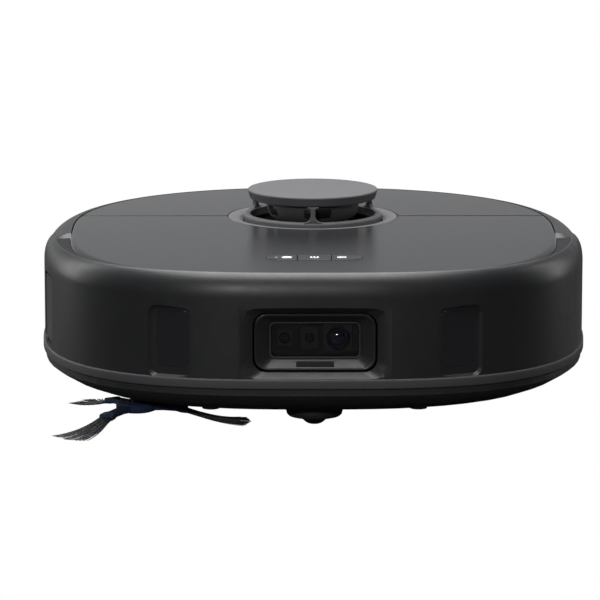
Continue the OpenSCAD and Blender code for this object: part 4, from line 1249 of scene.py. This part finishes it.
@dataclass
class Turret:
    """Laser turret: trim, guard ring on three posts, cap and spinning head."""

    body: Body
    y: float = 45.8
    dish_r: float = 43.6
    ring_w: float = 4.3
    post_w: float = 3.0
    flare: float = 4.2
    window_turns: tuple[float, ...] = (-152, -96, -76, 20, 80, 150)
    window_arcs: tuple[float, ...] = (22, 10, 20, 20, 20, 20)

    def make(self) -> None:
        """Builds and dresses the turret."""
        deck = self.body.deck_z
        trim = size_of("turret_trim")
        out_r = (trim[1].x - trim[0].x) / 2
        in_r = self.dish_r
        profile = [(in_r, trim[0].z), (out_r, trim[0].z), (out_r, deck - 0.5)]
        profile += [(out_r - 0.25, deck - 0.1), (out_r - 0.9, deck)]
        for u in sweep(90, 8):
            profile.append((in_r + 0.6 + 7.0 * (1 - math.sin(u)), deck - 2.2 * (1 - math.cos(u)) - 0.05))
        profile.append((in_r, deck - 2.25))
        dish = soften(lathe(profile, 0, self.y, 192), 0.0)
        dress(dish, "turret_dish", "chassis", Look.TURRET, ("turret_trim",))
        self.make_guard()
        self.make_cap()
        self.make_head()

    def make_guard(self) -> None:
        """Ring and its three posts, which flare where they meet the ring and the cap."""
        low, high = size_of("guard_ring")
        out_r = (high.x - low.x) / 2
        in_r, top, post_top = out_r - self.ring_w, self.body.deck_z + 2.1, high.z
        profile = [(in_r, low.z), (out_r, low.z), (out_r, top - 1.7)]
        for u in sweep(90, 8):
            profile.append((out_r - 1.7 * (1 - math.cos(u)), top - 1.7 * (1 - math.sin(u))))
        profile += [(in_r + 0.8, top), (in_r + 0.2, top - 0.3), (in_r, top - 1.0)]
        ring = soften(lathe(profile, 0, self.y, 192), 0.0)
        posts = []
        for k in range(3):
            turn = math.radians(-90 + 120 * k)
            rings = []
            heights = [low.z + 0.4, top - 0.6, top] + [top + self.flare * i / 8 for i in range(1, 9)]
            heights += [post_top - 2.0 * (1 - i / 5) for i in range(1, 6)]
            for z in heights:
                rise = min(1.0, max(0.0, (z - top) / self.flare))
                grow = self.flare * (1 - math.sqrt(max(0.0, 1 - (1 - rise) ** 2)))
                near = max(0.0, 1 - (post_top - z) / 2.0)
                grow += 1.8 * (1 - math.sqrt(max(0.0, 1 - near**2)))
                half = self.post_w / 2 + grow
                flat = rounded(2.9, 2 * half, 0.6, 4)
                rings.append([self.on_ring(out_r - 1.75 + u - (v * v) / 90, v, turn, z) for u, v in flat])
            posts.append(soften(loft(rings), 0.0))
        guard = joined([ring, *posts])
        dress(guard, "turret_guard", "turret_guard", Look.TURRET, ("guard_ring",))

    def on_ring(self, reach: float, across: float, turn: float, z: float) -> Point:
        """A point out from the turret's axis along a direction, and across it."""
        x = reach * math.cos(turn) - across * math.sin(turn)
        return x, self.y + reach * math.sin(turn) + across * math.cos(turn), z

    def make_cap(self) -> None:
        """Flat cap whose side leans in a little towards its underside."""
        low, high = size_of("guard_cap")
        r, z0, z1 = (high.x - low.x) / 2, low.z, high.z
        profile = [(0, z0), (r - 2.4, z0), (r - 1.75, z0 + 0.12), (r - 1.35, z0 + 0.45), (r - 1.2, z0 + 0.9)]
        profile += [(r - 0.25, z1 - 1.7), (r - 0.03, z1 - 1.3), (r, z1 - 0.95), (r - 0.1, z1 - 0.5)]
        profile += [(r - 0.4, z1 - 0.15), (r - 0.9, z1), (r - 6, z1), (r - 20, z1), (0, z1)]
        cap = soften(lathe(profile, 0, self.y, 224), 0.0)
        dress(cap, "turret_cap", "turret_guard", Look.TURRET, ("guard_cap",))

    def make_head(self) -> None:
        """Bowl-shaped head with rounded windows and the dark optics in them."""
        low, high = size_of("lidar_head")
        r, deck = (high.x - low.x) / 2, self.body.deck_z
        head_z, top = low.z + 7.0, high.z
        spindle, pulley = 4.0, 26.0
        profile = [
            (0, low.z), (spindle, low.z), (spindle, head_z), (pulley, head_z), (pulley, head_z + 3),
            (pulley + 2, head_z + 3), (pulley + 2, head_z + 4), (pulley - 3, head_z + 6),
        ]
        for u in sweep(90, 12):
            profile.append((r - 6.5 + 6.5 * math.sin(u), deck + 7.5 - 9.0 * math.cos(u)))
        profile += [(r, top - 0.8), (r - 0.3, top - 0.2), (r - 1.0, top), (0, top)]
        head = lathe(profile, 0, self.y, 192)
        z0, z1 = deck + 2.3, top - 1.5
        cutters = []
        for turn, arc in zip(self.window_turns, self.window_arcs):
            w = 2 * r * math.sin(math.radians(arc / 2))
            flat = rounded(w, z1 - z0, min(1.6, w / 2 - 0.2), 5)
            a, middle = math.radians(turn), (z0 + z1) / 2
            rings = [[self.on_ring(reach, u, a, middle + v) for u, v in flat] for reach in (r - 3.2, r + 4)]
            cutters.append(loft(rings))
        head = shaped(head, cutters)
        head = soften(head, 0.2)
        dress(head, "laser_head_shell", "laser_head", Look.TURRET, ("lidar_head",))
        panes = []
        for turn, arc in zip(self.window_turns, self.window_arcs):
            section = [(r - 3.0, z0 + 0.2), (r - 2.0, z0 + 0.2), (r - 1.5, z1 - 0.2), (r - 3.0, z1 - 0.2)]
            span = (turn - arc / 2 + 0.6, turn + arc / 2 - 0.6)
            panes.append(soften(lathe(section, 0, self.y, 180, span), 0.1))
        dress(joined(panes), "laser_windows", "laser_head", Look.GLOSS, ("lidar_windows",))


@dataclass
class Shell:
    """Rear and side shell with its broad shoulder, contacts and exhaust grille."""

    body: Body
    start_y: float = -28.0
    shoulder_h: float = 16.0
    slope: float = 8.0
    step: float = 4.6
    contact_x: Pair = (14.8, 39.2)
    lip_z: float = 31.3

    def section(self, turn: float) -> list[Pair]:
        """Closed section of the shell at a turn, whose shoulder ends at the lid's edge."""
        outline, lid = self.body.outline, self.body.lid
        wall, top, t = self.body.wall_in, self.body.deck_z, self.body.wall_t
        x, y = lid.at(turn, -0.45)
        edge = math.hypot(outline.at(turn)[0], outline.at(turn)[1] - outline.mid_y)
        width = edge - math.hypot(x, y - outline.mid_y) - wall
        ahead = outline.at(turn, 8.0)[1] - self.start_y
        fall = self.step * (1 - ease(ahead / self.slope)) if ahead < self.slope else 0.0
        start = top - self.shoulder_h
        lip_top = self.body.lip_top
        points = [(3.2, self.lip_z), (0.9, self.lip_z), (0.3, self.lip_z + 0.25), (0.0, self.lip_z + 0.9)]
        points += [(0.0, lip_top - 1.0), (0.15, lip_top - 0.5), (0.5, lip_top - 0.1), (wall, lip_top + 0.15)]
        points += [(wall, z) for z in (44.0, 50.0, 56.0, 62.0, 68.0, 74.0)]
        for u in sweep(90, 14):
            rise = math.sin(u) ** 0.92
            drop = fall * rise
            points.append((wall + width * (1 - math.cos(u)), start + self.shoulder_h * rise - drop))
        points += [(wall + width + 0.02, top - 0.6 - fall), (wall + width, top - t - 0.4 - fall)]
        points += [(wall + t + 5.0, top - t - 3.4 - fall), (wall + t + 1.6, start + 6.0)]
        return points + [(wall + t, start - 1.0), (wall + t, 50.0)]

    def make(self) -> None:
        """Builds and dresses the shell."""
        outline = self.body.outline
        right = outline.turn_at(self.start_y, 3.0)
        shell = outline.band(self.section, outline.turns(right, math.pi - right))
        cuts = []
        low, high = size_of("charging_contacts")
        for side in (-1, 1):
            x0, x1 = sorted(side * x for x in self.contact_x)
            cuts.append(block((x0, low.y - 12, low.z - 0.2), (x1, high.y + 8, high.z + 0.2)))
        low, high = size_of("exhaust_grille")
        cuts.append(block((low.x - 0.2, low.y - 6, low.z - 0.2), (high.x + 0.2, high.y + 8, high.z + 0.2)))
        shell = shaped(shell, cuts)
        dress(soften(shell, 0.22), "side_shell_skin", "chassis", Look.BODY, ("side_shell",))
        self.make_contacts()

    def make_contacts(self) -> None:
        """Two charging plates with a dished face, each in a dark frame."""
        low, high = size_of("charging_contacts")
        outline = self.body.outline
        plates, frames = [], []
        for side in (-1, 1):
            turns = outline.turns(*self.between(side * 15.6, side * 38.4))
            z0, z1 = low.z + 0.6, high.z - 0.6
            face = [(2.6, z0), (1.5, z0), (1.15, z0 + 0.4), (1.35, (z0 + z1) / 2)]
            face += [(1.15, z1 - 0.4), (1.5, z1), (2.6, z1)]
            plates.append(soften(outline.band(lambda t: face, turns), 0.0))
            wide = outline.turns(*self.between(side * 14.9, side * 39.1))
            rim = [(3.0, low.z - 0.1), (1.9, low.z - 0.1), (1.9, high.z + 0.1), (3.0, high.z + 0.1)]
            frames.append(soften(outline.band(lambda t: rim, wide), 0.0))
        contacts = joined(plates)
        dress(contacts, "charging_plates", "chassis", Look.CONTACT, ("charging_contacts",))
        dress(joined(frames), "contact_frames", "chassis", Look.PAN)

    def between(self, x0: float, x1: float) -> Pair:
        """Rear turns that reach two sideways places."""
        turns = []
        for x in (x0, x1):
            low, high = 0.0, math.pi
            for _ in range(40):
                middle = (low + high) / 2
                low, high = (middle, high) if self.body.outline.at(middle, 1.5)[0] > x else (low, middle)
            turns.append(low)
        return min(turns), max(turns)


@dataclass
class SideBrush:
    """Side brush with three navy arms and drooping tufts of bristle."""

    x: float = -104.0
    y: float = -114.0
    hub_z: float = 6.5
    arm_l: float = 30.0
    arm_turns: tuple[float, ...] = (-3.0, 122.0, 236.0)
    lengths: tuple[float, ...] = (68.0, 67.0, 67.0)
    bends: tuple[float, ...] = (-5.0, -3.0, -8.0)
    strands: int = 110
    fan_half: float = 11.5

    def make(self) -> None:
        """Builds and dresses the brush."""
        z = self.hub_z
        top = size_of("side_brush_hub")[1].z
        hub = [(0, z), (9.5, z), (11.4, z + 0.7), (12, z + 2.0), (12, z + 3.6), (10.5, z + 5)]
        hub += [(5, z + 5.4), (3, z + 5.6), (3, top), (0, top)]
        pieces = [soften(lathe(hub, self.x, self.y, 72), 0.0)]
        screw = [(0, z - 0.3), (3.2, z - 0.3), (3.6, z + 0.1), (3.6, z + 0.6), (0, z + 0.6)]
        head = soften(lathe(screw, self.x, self.y, 40), 0.0)
        dress(head, "side_brush_screw", "side_brush", Look.STEEL)
        for turn in self.arm_turns:
            pieces.append(soften(self.arm(turn), 0.0))
        dress(joined(pieces), "side_brush_arms", "side_brush", Look.NAVY, ("side_brush_hub",))
        tufts = [self.tuft(*row) for row in zip(self.arm_turns, self.lengths, self.bends)]
        bristles = joined(tufts)
        dress(bristles, "side_brush_tufts", "side_brush", Look.BRISTLE, ("side_brush_bristles",))

    def spot(self, turn: float, reach: float, across: float, z: float) -> Point:
        """A point along an arm's direction, in degrees, and across it."""
        a = math.radians(turn)
        return (
            self.x + reach * math.cos(a) - across * math.sin(a),
            self.y + reach * math.sin(a) + across * math.cos(a),
            z,
        )

    def arm(self, turn: float) -> Piece:
        """Rubber arm that narrows, then grips the tuft in a flat clip."""
        rings = []
        waists = ((0.0, 4.6, 1.9), (0.35, 3.4, 1.7), (0.7, 3.4, 1.6), (0.85, 4.4, 1.9), (1.0, 4.8, 1.7))
        for share, half, thick in waists:
            reach = 8 + (self.arm_l - 8) * share
            z = self.hub_z + 2.6 - 1.6 * share**2
            flat = rounded(2 * half, 2 * thick, 1.2, 4)
            rings.append([self.spot(turn, reach, u, z + v) for u, v in flat])
        return loft(rings)

    def tuft(self, turn: float, length: float, bend: float) -> Piece:
        """A fan of thin curved strands that droop to the floor."""
        draw = random.Random(round(turn * 7) + 5)
        points: list[Point] = []
        faces: list[list[int]] = []
        steps, sides = 8, 3
        for _ in range(self.strands):
            start_u = draw.uniform(-3.6, 3.6)
            fan = start_u / 3.6 * self.fan_half + draw.gauss(0, 1.2)
            start_z = self.hub_z + 1.0 + draw.uniform(-0.9, 0.9)
            end = length - 3.5 * abs(fan / self.fan_half) - abs(draw.gauss(0, 1.6))
            thick = draw.uniform(0.24, 0.36)
            base = len(points)
            for k in range(steps + 1):
                s = k / steps
                reach = self.arm_l - 2 + (end - self.arm_l + 2) * s
                across = start_u + (fan - start_u) * s**1.15 + math.tan(math.radians(bend)) * 16 * s * s
                droop = (0.9 - start_z) * (1 - (1 - s) ** 1.8)
                z = max(0.7, start_z + droop + 0.25 * math.sin(3.0 * s + start_u))
                r = thick * (1 - 0.55 * s)
                for c in range(sides):
                    q = 2 * math.pi * c / sides
                    points.append(self.spot(turn, reach, across + r * math.cos(q), z + r * math.sin(q)))
            for k in range(steps):
                for c in range(sides):
                    d = (c + 1) % sides
                    a, b = base + k * sides, base + (k + 1) * sides
                    faces.append([a + c, a + d, b + d, b + c])
            faces.append([base + c for c in range(sides)][::-1])
            faces.append([base + steps * sides + c for c in range(sides)])
        tuft = raw(points, faces)
        tuft.data.shade_smooth()
        return tuft


@dataclass
class Caster:
    """Front caster: domed housing, fork and barrel wheel."""

    fork_r: float = 14.0
    fork_top: float = 25.0
    gap: float = 0.5

    def make(self) -> None:
        """Builds and dresses the caster."""
        low, high = size_of("caster_housing")
        r = (high.x - low.x) / 2
        y = (low.y + high.y) / 2
        fork = size_of("caster_fork")
        fork_r, fork_top = self.fork_r, self.fork_top
        rim = [(fork_r + 0.5, low.z + 0.3), (fork_r + 1.0, low.z), (r - 1.6, low.z), (r - 0.7, low.z + 0.9)]
        rim += [(r - 0.2, low.z + 3), (r, high.z - 12), (r, high.z - 10), (9, high.z - 10), (9, high.z)]
        rim += [(6.05, high.z), (6.05, fork_top + 0.6), (fork_r + 0.5, fork_top + 0.6)]
        cup = soften(lathe(rim, 0, y, 96), 0.0)
        dress(cup, "caster_cup", "chassis", Look.PAN, ("caster_housing",))
        dome = [(0, fork[0].z)]
        for u in sweep(90, 8):
            dome.append((fork_r - 4 + 4 * math.sin(u), fork[0].z + 4 - 4 * math.cos(u)))
        dome += [(fork_r, fork_top - 0.5), (fork_r - 0.5, fork_top), (6, fork_top)]
        dome += [(6, fork[1].z), (0, fork[1].z)]
        swivel = lathe(dome, 0, y, 96)
        low, high = size_of("caster_wheel")
        wy, wr, wz = (low.y + high.y) / 2, (high.z - low.z) / 2, (low.z + high.z) / 2
        half = (high.x - low.x) / 2
        side = half + self.gap
        slot = block((-side, wy - wr - 0.6, -20), (side, wy + wr + 0.6, 2 * wr + 1))
        swivel = soften(shaped(swivel, [slot]), 0.35)
        dress(swivel, "caster_swivel_fork", "caster_swivel", Look.PAN, ("caster_fork",))
        pin = [(0, -half - 3), (1.5, -half - 3), (1.5, half + 3), (0, half + 3)]
        rod = along_x(lathe(pin, steps=32), 0, wy, wz)
        dress(soften(rod, 0.2), "caster_axle", "caster_swivel", Look.STEEL)
        barrel = [(1.55, -half), (wr * 0.55, -half), (wr * 0.66, -half + 0.4)]
        for i in range(13):
            s = -1 + 2 * i / 12
            barrel.append((wr * (1 - 0.26 * abs(s) ** 2.6), s * (half - 1.0)))
        barrel += [(wr * 0.66, half - 0.4), (wr * 0.55, half), (1.55, half)]
        wheel = soften(along_x(lathe(barrel, steps=96), 0, wy, wz), 0.0)
        dress(wheel, "caster_barrel", "caster_roller", Look.HUB, ("caster_wheel",))


@dataclass
class DriveWheel:
    """One driven wheel: treaded tyre and spoked hub."""

    side: str
    lugs: int = 30
    tread: float = 1.9
    holes: int = 5
    hole_r: float = 16.5

    def make(self) -> None:
        """Builds and dresses the wheel."""
        low, high = size_of(f"{self.side}_tyre")
        r, w = (high.z - low.z) / 2, high.x - low.x
        x, z = (low.x + high.x) / 2, (low.z + high.z) / 2
        y = (low.y + high.y) / 2
        out = 1 if x > 0 else -1
        rows = 12
        rings = []
        steps = self.lugs * 8
        for i in range(steps):
            ring = []
            turn = 2 * math.pi * i / steps
            for k in range(rows + 1):
                s = -1 + 2 * k / rows
                lean = turn * self.lugs / (2 * math.pi) + 0.55 * abs(s)
                groove = abs((lean % 1.0) - 0.5) < 0.17 and abs(s) > 0.12
                crown = 0.9 * abs(s) ** 3
                edge = 0.6 if k in (0, rows) else 0.0
                ring.append((r - crown - edge - (self.tread if groove else 0.0), s * w / 2))
            ring += [(r - 5.9, w / 2), (r - 5.9, -w / 2)]
            rings.append([(q * math.cos(turn), q * math.sin(turn), v) for q, v in ring])
        tyre = soften(along_x(loft(rings, wrap=True), x, y, z), 0.0)
        body = f"{self.side}_wheel"
        dress(tyre, f"{self.side}_tyre_tread", body, Look.RUBBER, (f"{self.side}_tyre",))
        hub_low, hub_high = size_of(f"{self.side}_wheel_hub")
        rim = (hub_high.z - hub_low.z) / 2
        inner_x = min(abs(hub_low.x), abs(hub_high.x)) - abs(x)
        face = w / 2 - 0.5
        shape = [(0, inner_x), (4, inner_x), (4, -face), (rim, -face), (rim, face), (rim - 2.6, face)]
        shape += [(rim - 3.2, face - 0.8), (rim - 4.0, face - 5), (9, face - 4.4), (7.6, face - 1.2)]
        shape += [(6.8, face - 0.8), (0, face - 0.8)]
        hub = lathe([(q, v * out) for q, v in shape], steps=120)
        holes = []
        flat = [(self.hole_r + u, v) for u, v in rounded(7.5, 8.0, 2.2, 4)]
        ends = sorted((out * (face - 9), out * (face + 3)))
        for k in range(self.holes):
            a = 2 * math.pi * (k + 0.5) / self.holes
            c, s = math.cos(a), math.sin(a)
            holes.append(loft([[(u * c - v * s, u * s + v * c, h) for u, v in flat] for h in ends]))
        hub = shaped(hub, holes)
        hub = soften(along_x(hub, x, y, z), 0.25)
        dress(hub, f"{body}_centre", body, Look.HUB, (f"{body}_hub",))


@dataclass
class RollerBrush:
    """Roller brush: a tube with curved rubber fins."""

    fins: int = 6
    twist: float = 26.0
    core_r: float = 9.0

    def make(self) -> None:
        """Builds and dresses the roller."""
        low, high = size_of("roller_fins")
        r = (high.z - low.z) / 2
        y, z = (low.y + high.y) / 2, (low.z + high.z) / 2
        half = (high.x - low.x) / 2
        core_r = self.core_r
        fin = [(core_r - 1, -1.4), (core_r + 3, -0.9), (r - 0.6, -0.75), (r - 0.15, 0.0)]
        fin += [(r - 0.6, 0.75), (core_r + 3, 0.9), (core_r - 1, 1.4)]
        pieces = []
        for k in range(self.fins):
            rings = []
            for i in range(41):
                s = -1 + 2 * i / 40
                a = 2 * math.pi * k / self.fins + math.radians(self.twist) * (1 - abs(s) ** 1.3)
                c, d = math.cos(a), math.sin(a)
                rings.append([(s * half, y + u * c - v * d, z + u * d + v * c) for u, v in fin])
            pieces.append(soften(loft(rings), 0.0))
        dress(joined(pieces), "roller_blades", "roller_brush", Look.NAVY, ("roller_fins",))
        core = size_of("roller_core")
        shape = [(0, core[0].x), (3, core[0].x), (3, -half - 2.2), (12, -half - 2.0), (12, -half - 0.4)]
        shape += [(core_r, -half), (core_r, half), (12, half + 0.4), (12, half + 2.0), (3, half + 2.2)]
        shape += [(3, core[1].x), (0, core[1].x)]
        rod = soften(along_x(lathe(shape, steps=72), 0, y, z), 0.25)
        dress(rod, "roller_tube", "roller_brush", Look.GEARBOX, ("roller_core",))


@dataclass
class Mop:
    """One spinning mop: cloth pad on a rounded plate."""

    side: str
    steps: int = 240

    def make(self) -> None:
        """Builds and dresses the mop."""
        low, high = size_of(f"{self.side}_mop_pad")
        x, y, r = (low.x + high.x) / 2, (low.y + high.y) / 2, (high.x - low.x) / 2
        draw = random.Random(11 if self.side == "left" else 23)
        body = f"{self.side}_mop"
        rings = []
        edge = [(r - 26, low.z), (r - 14, low.z), (r - 7, low.z + 0.1), (r - 3, low.z + 0.6)]
        edge += [(r - 1.0, low.z + 1.8), (r - 0.2, low.z + 3.2), (r - 1.0, high.z - 1.0), (r - 3.5, high.z)]
        profile = [(0.0, low.z + 0.5), (6.0, low.z + 0.3), (16.0, low.z + 0.1), *edge, (0.0, high.z)]
        for i in range(self.steps):
            t = 2 * math.pi * i / self.steps
            ring = []
            for q, z in profile:
                rough = draw.uniform(-0.35, 0.0) if 5 < q else 0.0
                lift = draw.uniform(0.0, 0.35) if z < low.z + 2 and q > 5 else 0.0
                ring.append((x + (q + rough) * math.cos(t), y + (q + rough) * math.sin(t), z + lift))
            rings.append(ring)
        pad = loft(rings, wrap=True)
        pad.data.shade_smooth()
        dress(pad, f"{body}_cloth", body, Look.CLOTH, (f"{body}_pad",))
        plate_low, plate_high = size_of(f"{self.side}_mop_plate")
        pr = (plate_high.x - plate_low.x) / 2
        z0, top = high.z, plate_high.z
        shape = [(0, z0), (pr - 0.6, z0), (pr, z0 + 0.6), (pr, z0 + 3.2), (pr - 0.8, z0 + 4)]
        shape += [(pr - 8, z0 + 4), (pr - 9, z0 + 2.6), (15, z0 + 2.6), (13, z0 + 4), (5, z0 + 4.2)]
        shape += [(5, top), (0, top)]
        disc = soften(lathe(shape, x, y, 120), 0.25)
        dress(disc, f"{body}_disc", body, Look.PLATE, (f"{body}_plate",))


@dataclass
class Insides:
    """CAD nodes whose shape is right, each given its slot's finish."""

    slots: dict[str, str] = field(default_factory=dict)

    def make(self) -> None:
        """Finishes every CAD node that is still shown."""
        for part in frame["record"].get("subparts", []):
            self.slots[part["node"]] = part["material_slot"]
        shown = {o["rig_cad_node"]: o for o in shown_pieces() if "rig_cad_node" in o}
        for node, obj in shown.items():
            look = self.look_of(node, obj)
            obj.data.materials.clear()
            obj.data.materials.append(look.material())
            LOG.info("%s keeps its CAD shape in %s", node, look.name)

    def look_of(self, node: str, obj: Piece) -> Look:
        """The finish of a CAD node, by its slot."""
        slot = self.slots.get(node) or (obj.data.materials[0].name if obj.data.materials else "")
        return SLOT_LOOKS.get(slot.split(".")[0], Look.PAN)


@dataclass
class Studio:
    """Pale floor, soft boxes and the camera."""

    distance: float = 2443.0
    elevation: float = 10.32
    yaw: float = -0.38
    lens: float = 239.0
    aim: Point = (0.0, 7.2, 50.0)
    pan: float = 0.19
    floor: float = 30000.0

    def make(self) -> None:
        """Builds the studio."""
        scene = bpy.context.scene
        scene.view_settings.view_transform = "Standard"
        self.make_world(scene)
        self.make_floor()
        self.box_light("left_box", (-950, 420, 400), (0, 0, 60), (260, 800), 3.6)
        self.box_light("right_box", (950, 420, 360), (0, 0, 60), (220, 700), 2.0)
        self.box_light("top_box", (-60, -60, 1100), (0, -60, 60), (1300, 760), 27.0)
        self.box_light("rear_top_box", (-80, 560, 900), (0, -80, 90), (1500, 240), 4.0)
        self.box_light("back_box", (-260, 950, 165), (0, 0, 100), (1700, 170), 0.40)
        self.box_light("key_box", (-260, -1500, 520), (0, -170, 60), (70, 70), 5.0)
        self.make_camera(scene)

    def make_world(self, scene: bpy.types.Scene) -> None:
        """White seen directly; for the light, bright behind and dim in front."""
        world = bpy.data.worlds.new("studio")
        scene.world = world
        world.use_nodes = True
        sheet = Sheet(world.node_tree)
        spot = sheet.add("ShaderNodeTexCoord", out="Generated")
        back = sheet.add("ShaderNodeSeparateXYZ", {}, {0: spot}, out="Y")
        side = sheet.add("ShaderNodeSeparateXYZ", {}, {0: spot}, out="X")
        glow = (back - side * 0.25).spread(-0.1, 1.0)
        ahead = sheet.blend((0.012, 0.012, 0.0126), (0.105, 0.106, 0.11), (0.5 - side * 0.5).spread(0.1, 0.9))
        near = sheet.add("ShaderNodeBackground", {}, {"Color": ahead, "Strength": 1.0})
        far = sheet.add("ShaderNodeBackground", {}, {"Color": (0.25, 0.254, 0.262), "Strength": 1.0})
        dim = sheet.add("ShaderNodeMixShader", {}, {0: glow, 1: near, 2: far})
        white = sheet.add("ShaderNodeBackground", {}, {"Color": (1.0, 1.0, 1.0), "Strength": 1.0})
        seen = sheet.add("ShaderNodeLightPath", out="Is Camera Ray")
        both = sheet.add("ShaderNodeMixShader", {}, {0: seen, 1: dim, 2: white})
        sheet.add("ShaderNodeOutputWorld", {}, {"Surface": both})

    def make_floor(self) -> None:
        """Plain pale floor, white where it is seen directly."""
        half = self.floor / 2
        floor = raw([(-half, -half, 0), (half, -half, 0), (half, half, 0), (-half, half, 0)], [[0, 1, 2, 3]])
        floor.name = "studio_floor"
        material = bpy.data.materials.new("studio_floor")
        material.use_nodes = True
        sheet = Sheet(material.node_tree)
        dim = sheet.add("ShaderNodeBsdfDiffuse", {}, {"Color": (0.065, 0.065, 0.065)})
        white = sheet.add("ShaderNodeEmission", {}, {"Color": (1.0, 1.0, 1.0), "Strength": 1.0})
        seen = sheet.add("ShaderNodeLightPath", out="Is Camera Ray")
        both = sheet.add("ShaderNodeMixShader", {}, {0: seen, 1: dim, 2: white})
        sheet.add("ShaderNodeOutputMaterial", {}, {"Surface": both})
        floor.data.materials.append(material)
        floor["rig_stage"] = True

    def box_light(self, name: str, at: Point, target: Point, size: Pair, power: float) -> None:
        """Soft box that looks at a target.

        Args:
            name: The light's name.
            at: Its place.
            target: What it faces.
            size: Width and height.
            power: Watts.
        """
        light = bpy.data.lights.new(name, "AREA")
        light.shape = "RECTANGLE"
        light.size, light.size_y = size[0] * MM, size[1] * MM
        light.energy = power
        obj = bpy.data.objects.new(name, light)
        bpy.context.scene.collection.objects.link(obj)
        obj.location = Vector(at) * MM
        obj.rotation_euler = (Vector(target) - Vector(at)).to_track_quat("-Z", "Y").to_euler()
        obj.visible_camera = False

    def make_camera(self, scene: bpy.types.Scene) -> None:
        """Long lens a little above the deck, turned a touch off the body's middle."""
        data = bpy.data.cameras.new("camera")
        camera = bpy.data.objects.new("camera", data)
        scene.collection.objects.link(camera)
        data.lens = self.lens
        data.sensor_width = 36.0
        data.clip_start, data.clip_end = 0.05, 100.0
        e, a = math.radians(self.elevation), math.radians(self.yaw)
        forward = Vector((-math.sin(a) * math.cos(e), math.cos(a) * math.cos(e), -math.sin(e)))
        camera.location = (Vector(self.aim) - self.distance * forward) * MM
        look = Matrix.Rotation(math.radians(self.pan), 3, "Z") @ forward
        camera.rotation_euler = look.to_track_quat("-Z", "Y").to_euler()
        scene.camera = camera


def main() -> None:
    """Builds the robot, piece by piece, then its studio."""
    logging.basicConfig(level=logging.INFO, format="%(message)s")
    body = Body()
    Studio().make()
    sections = [
        Shell(body), Bumper(body), Deck(body), CameraWindow(body), Turret(body), SideBrush(), Caster(),
        DriveWheel("left"), DriveWheel("right"), RollerBrush(), Mop("left"), Mop("right"), Insides(),
    ]
    for section in sections:
        section.make()
        LOG.info("made %s", type(section).__name__)


if __name__ == "__main__":
    main()
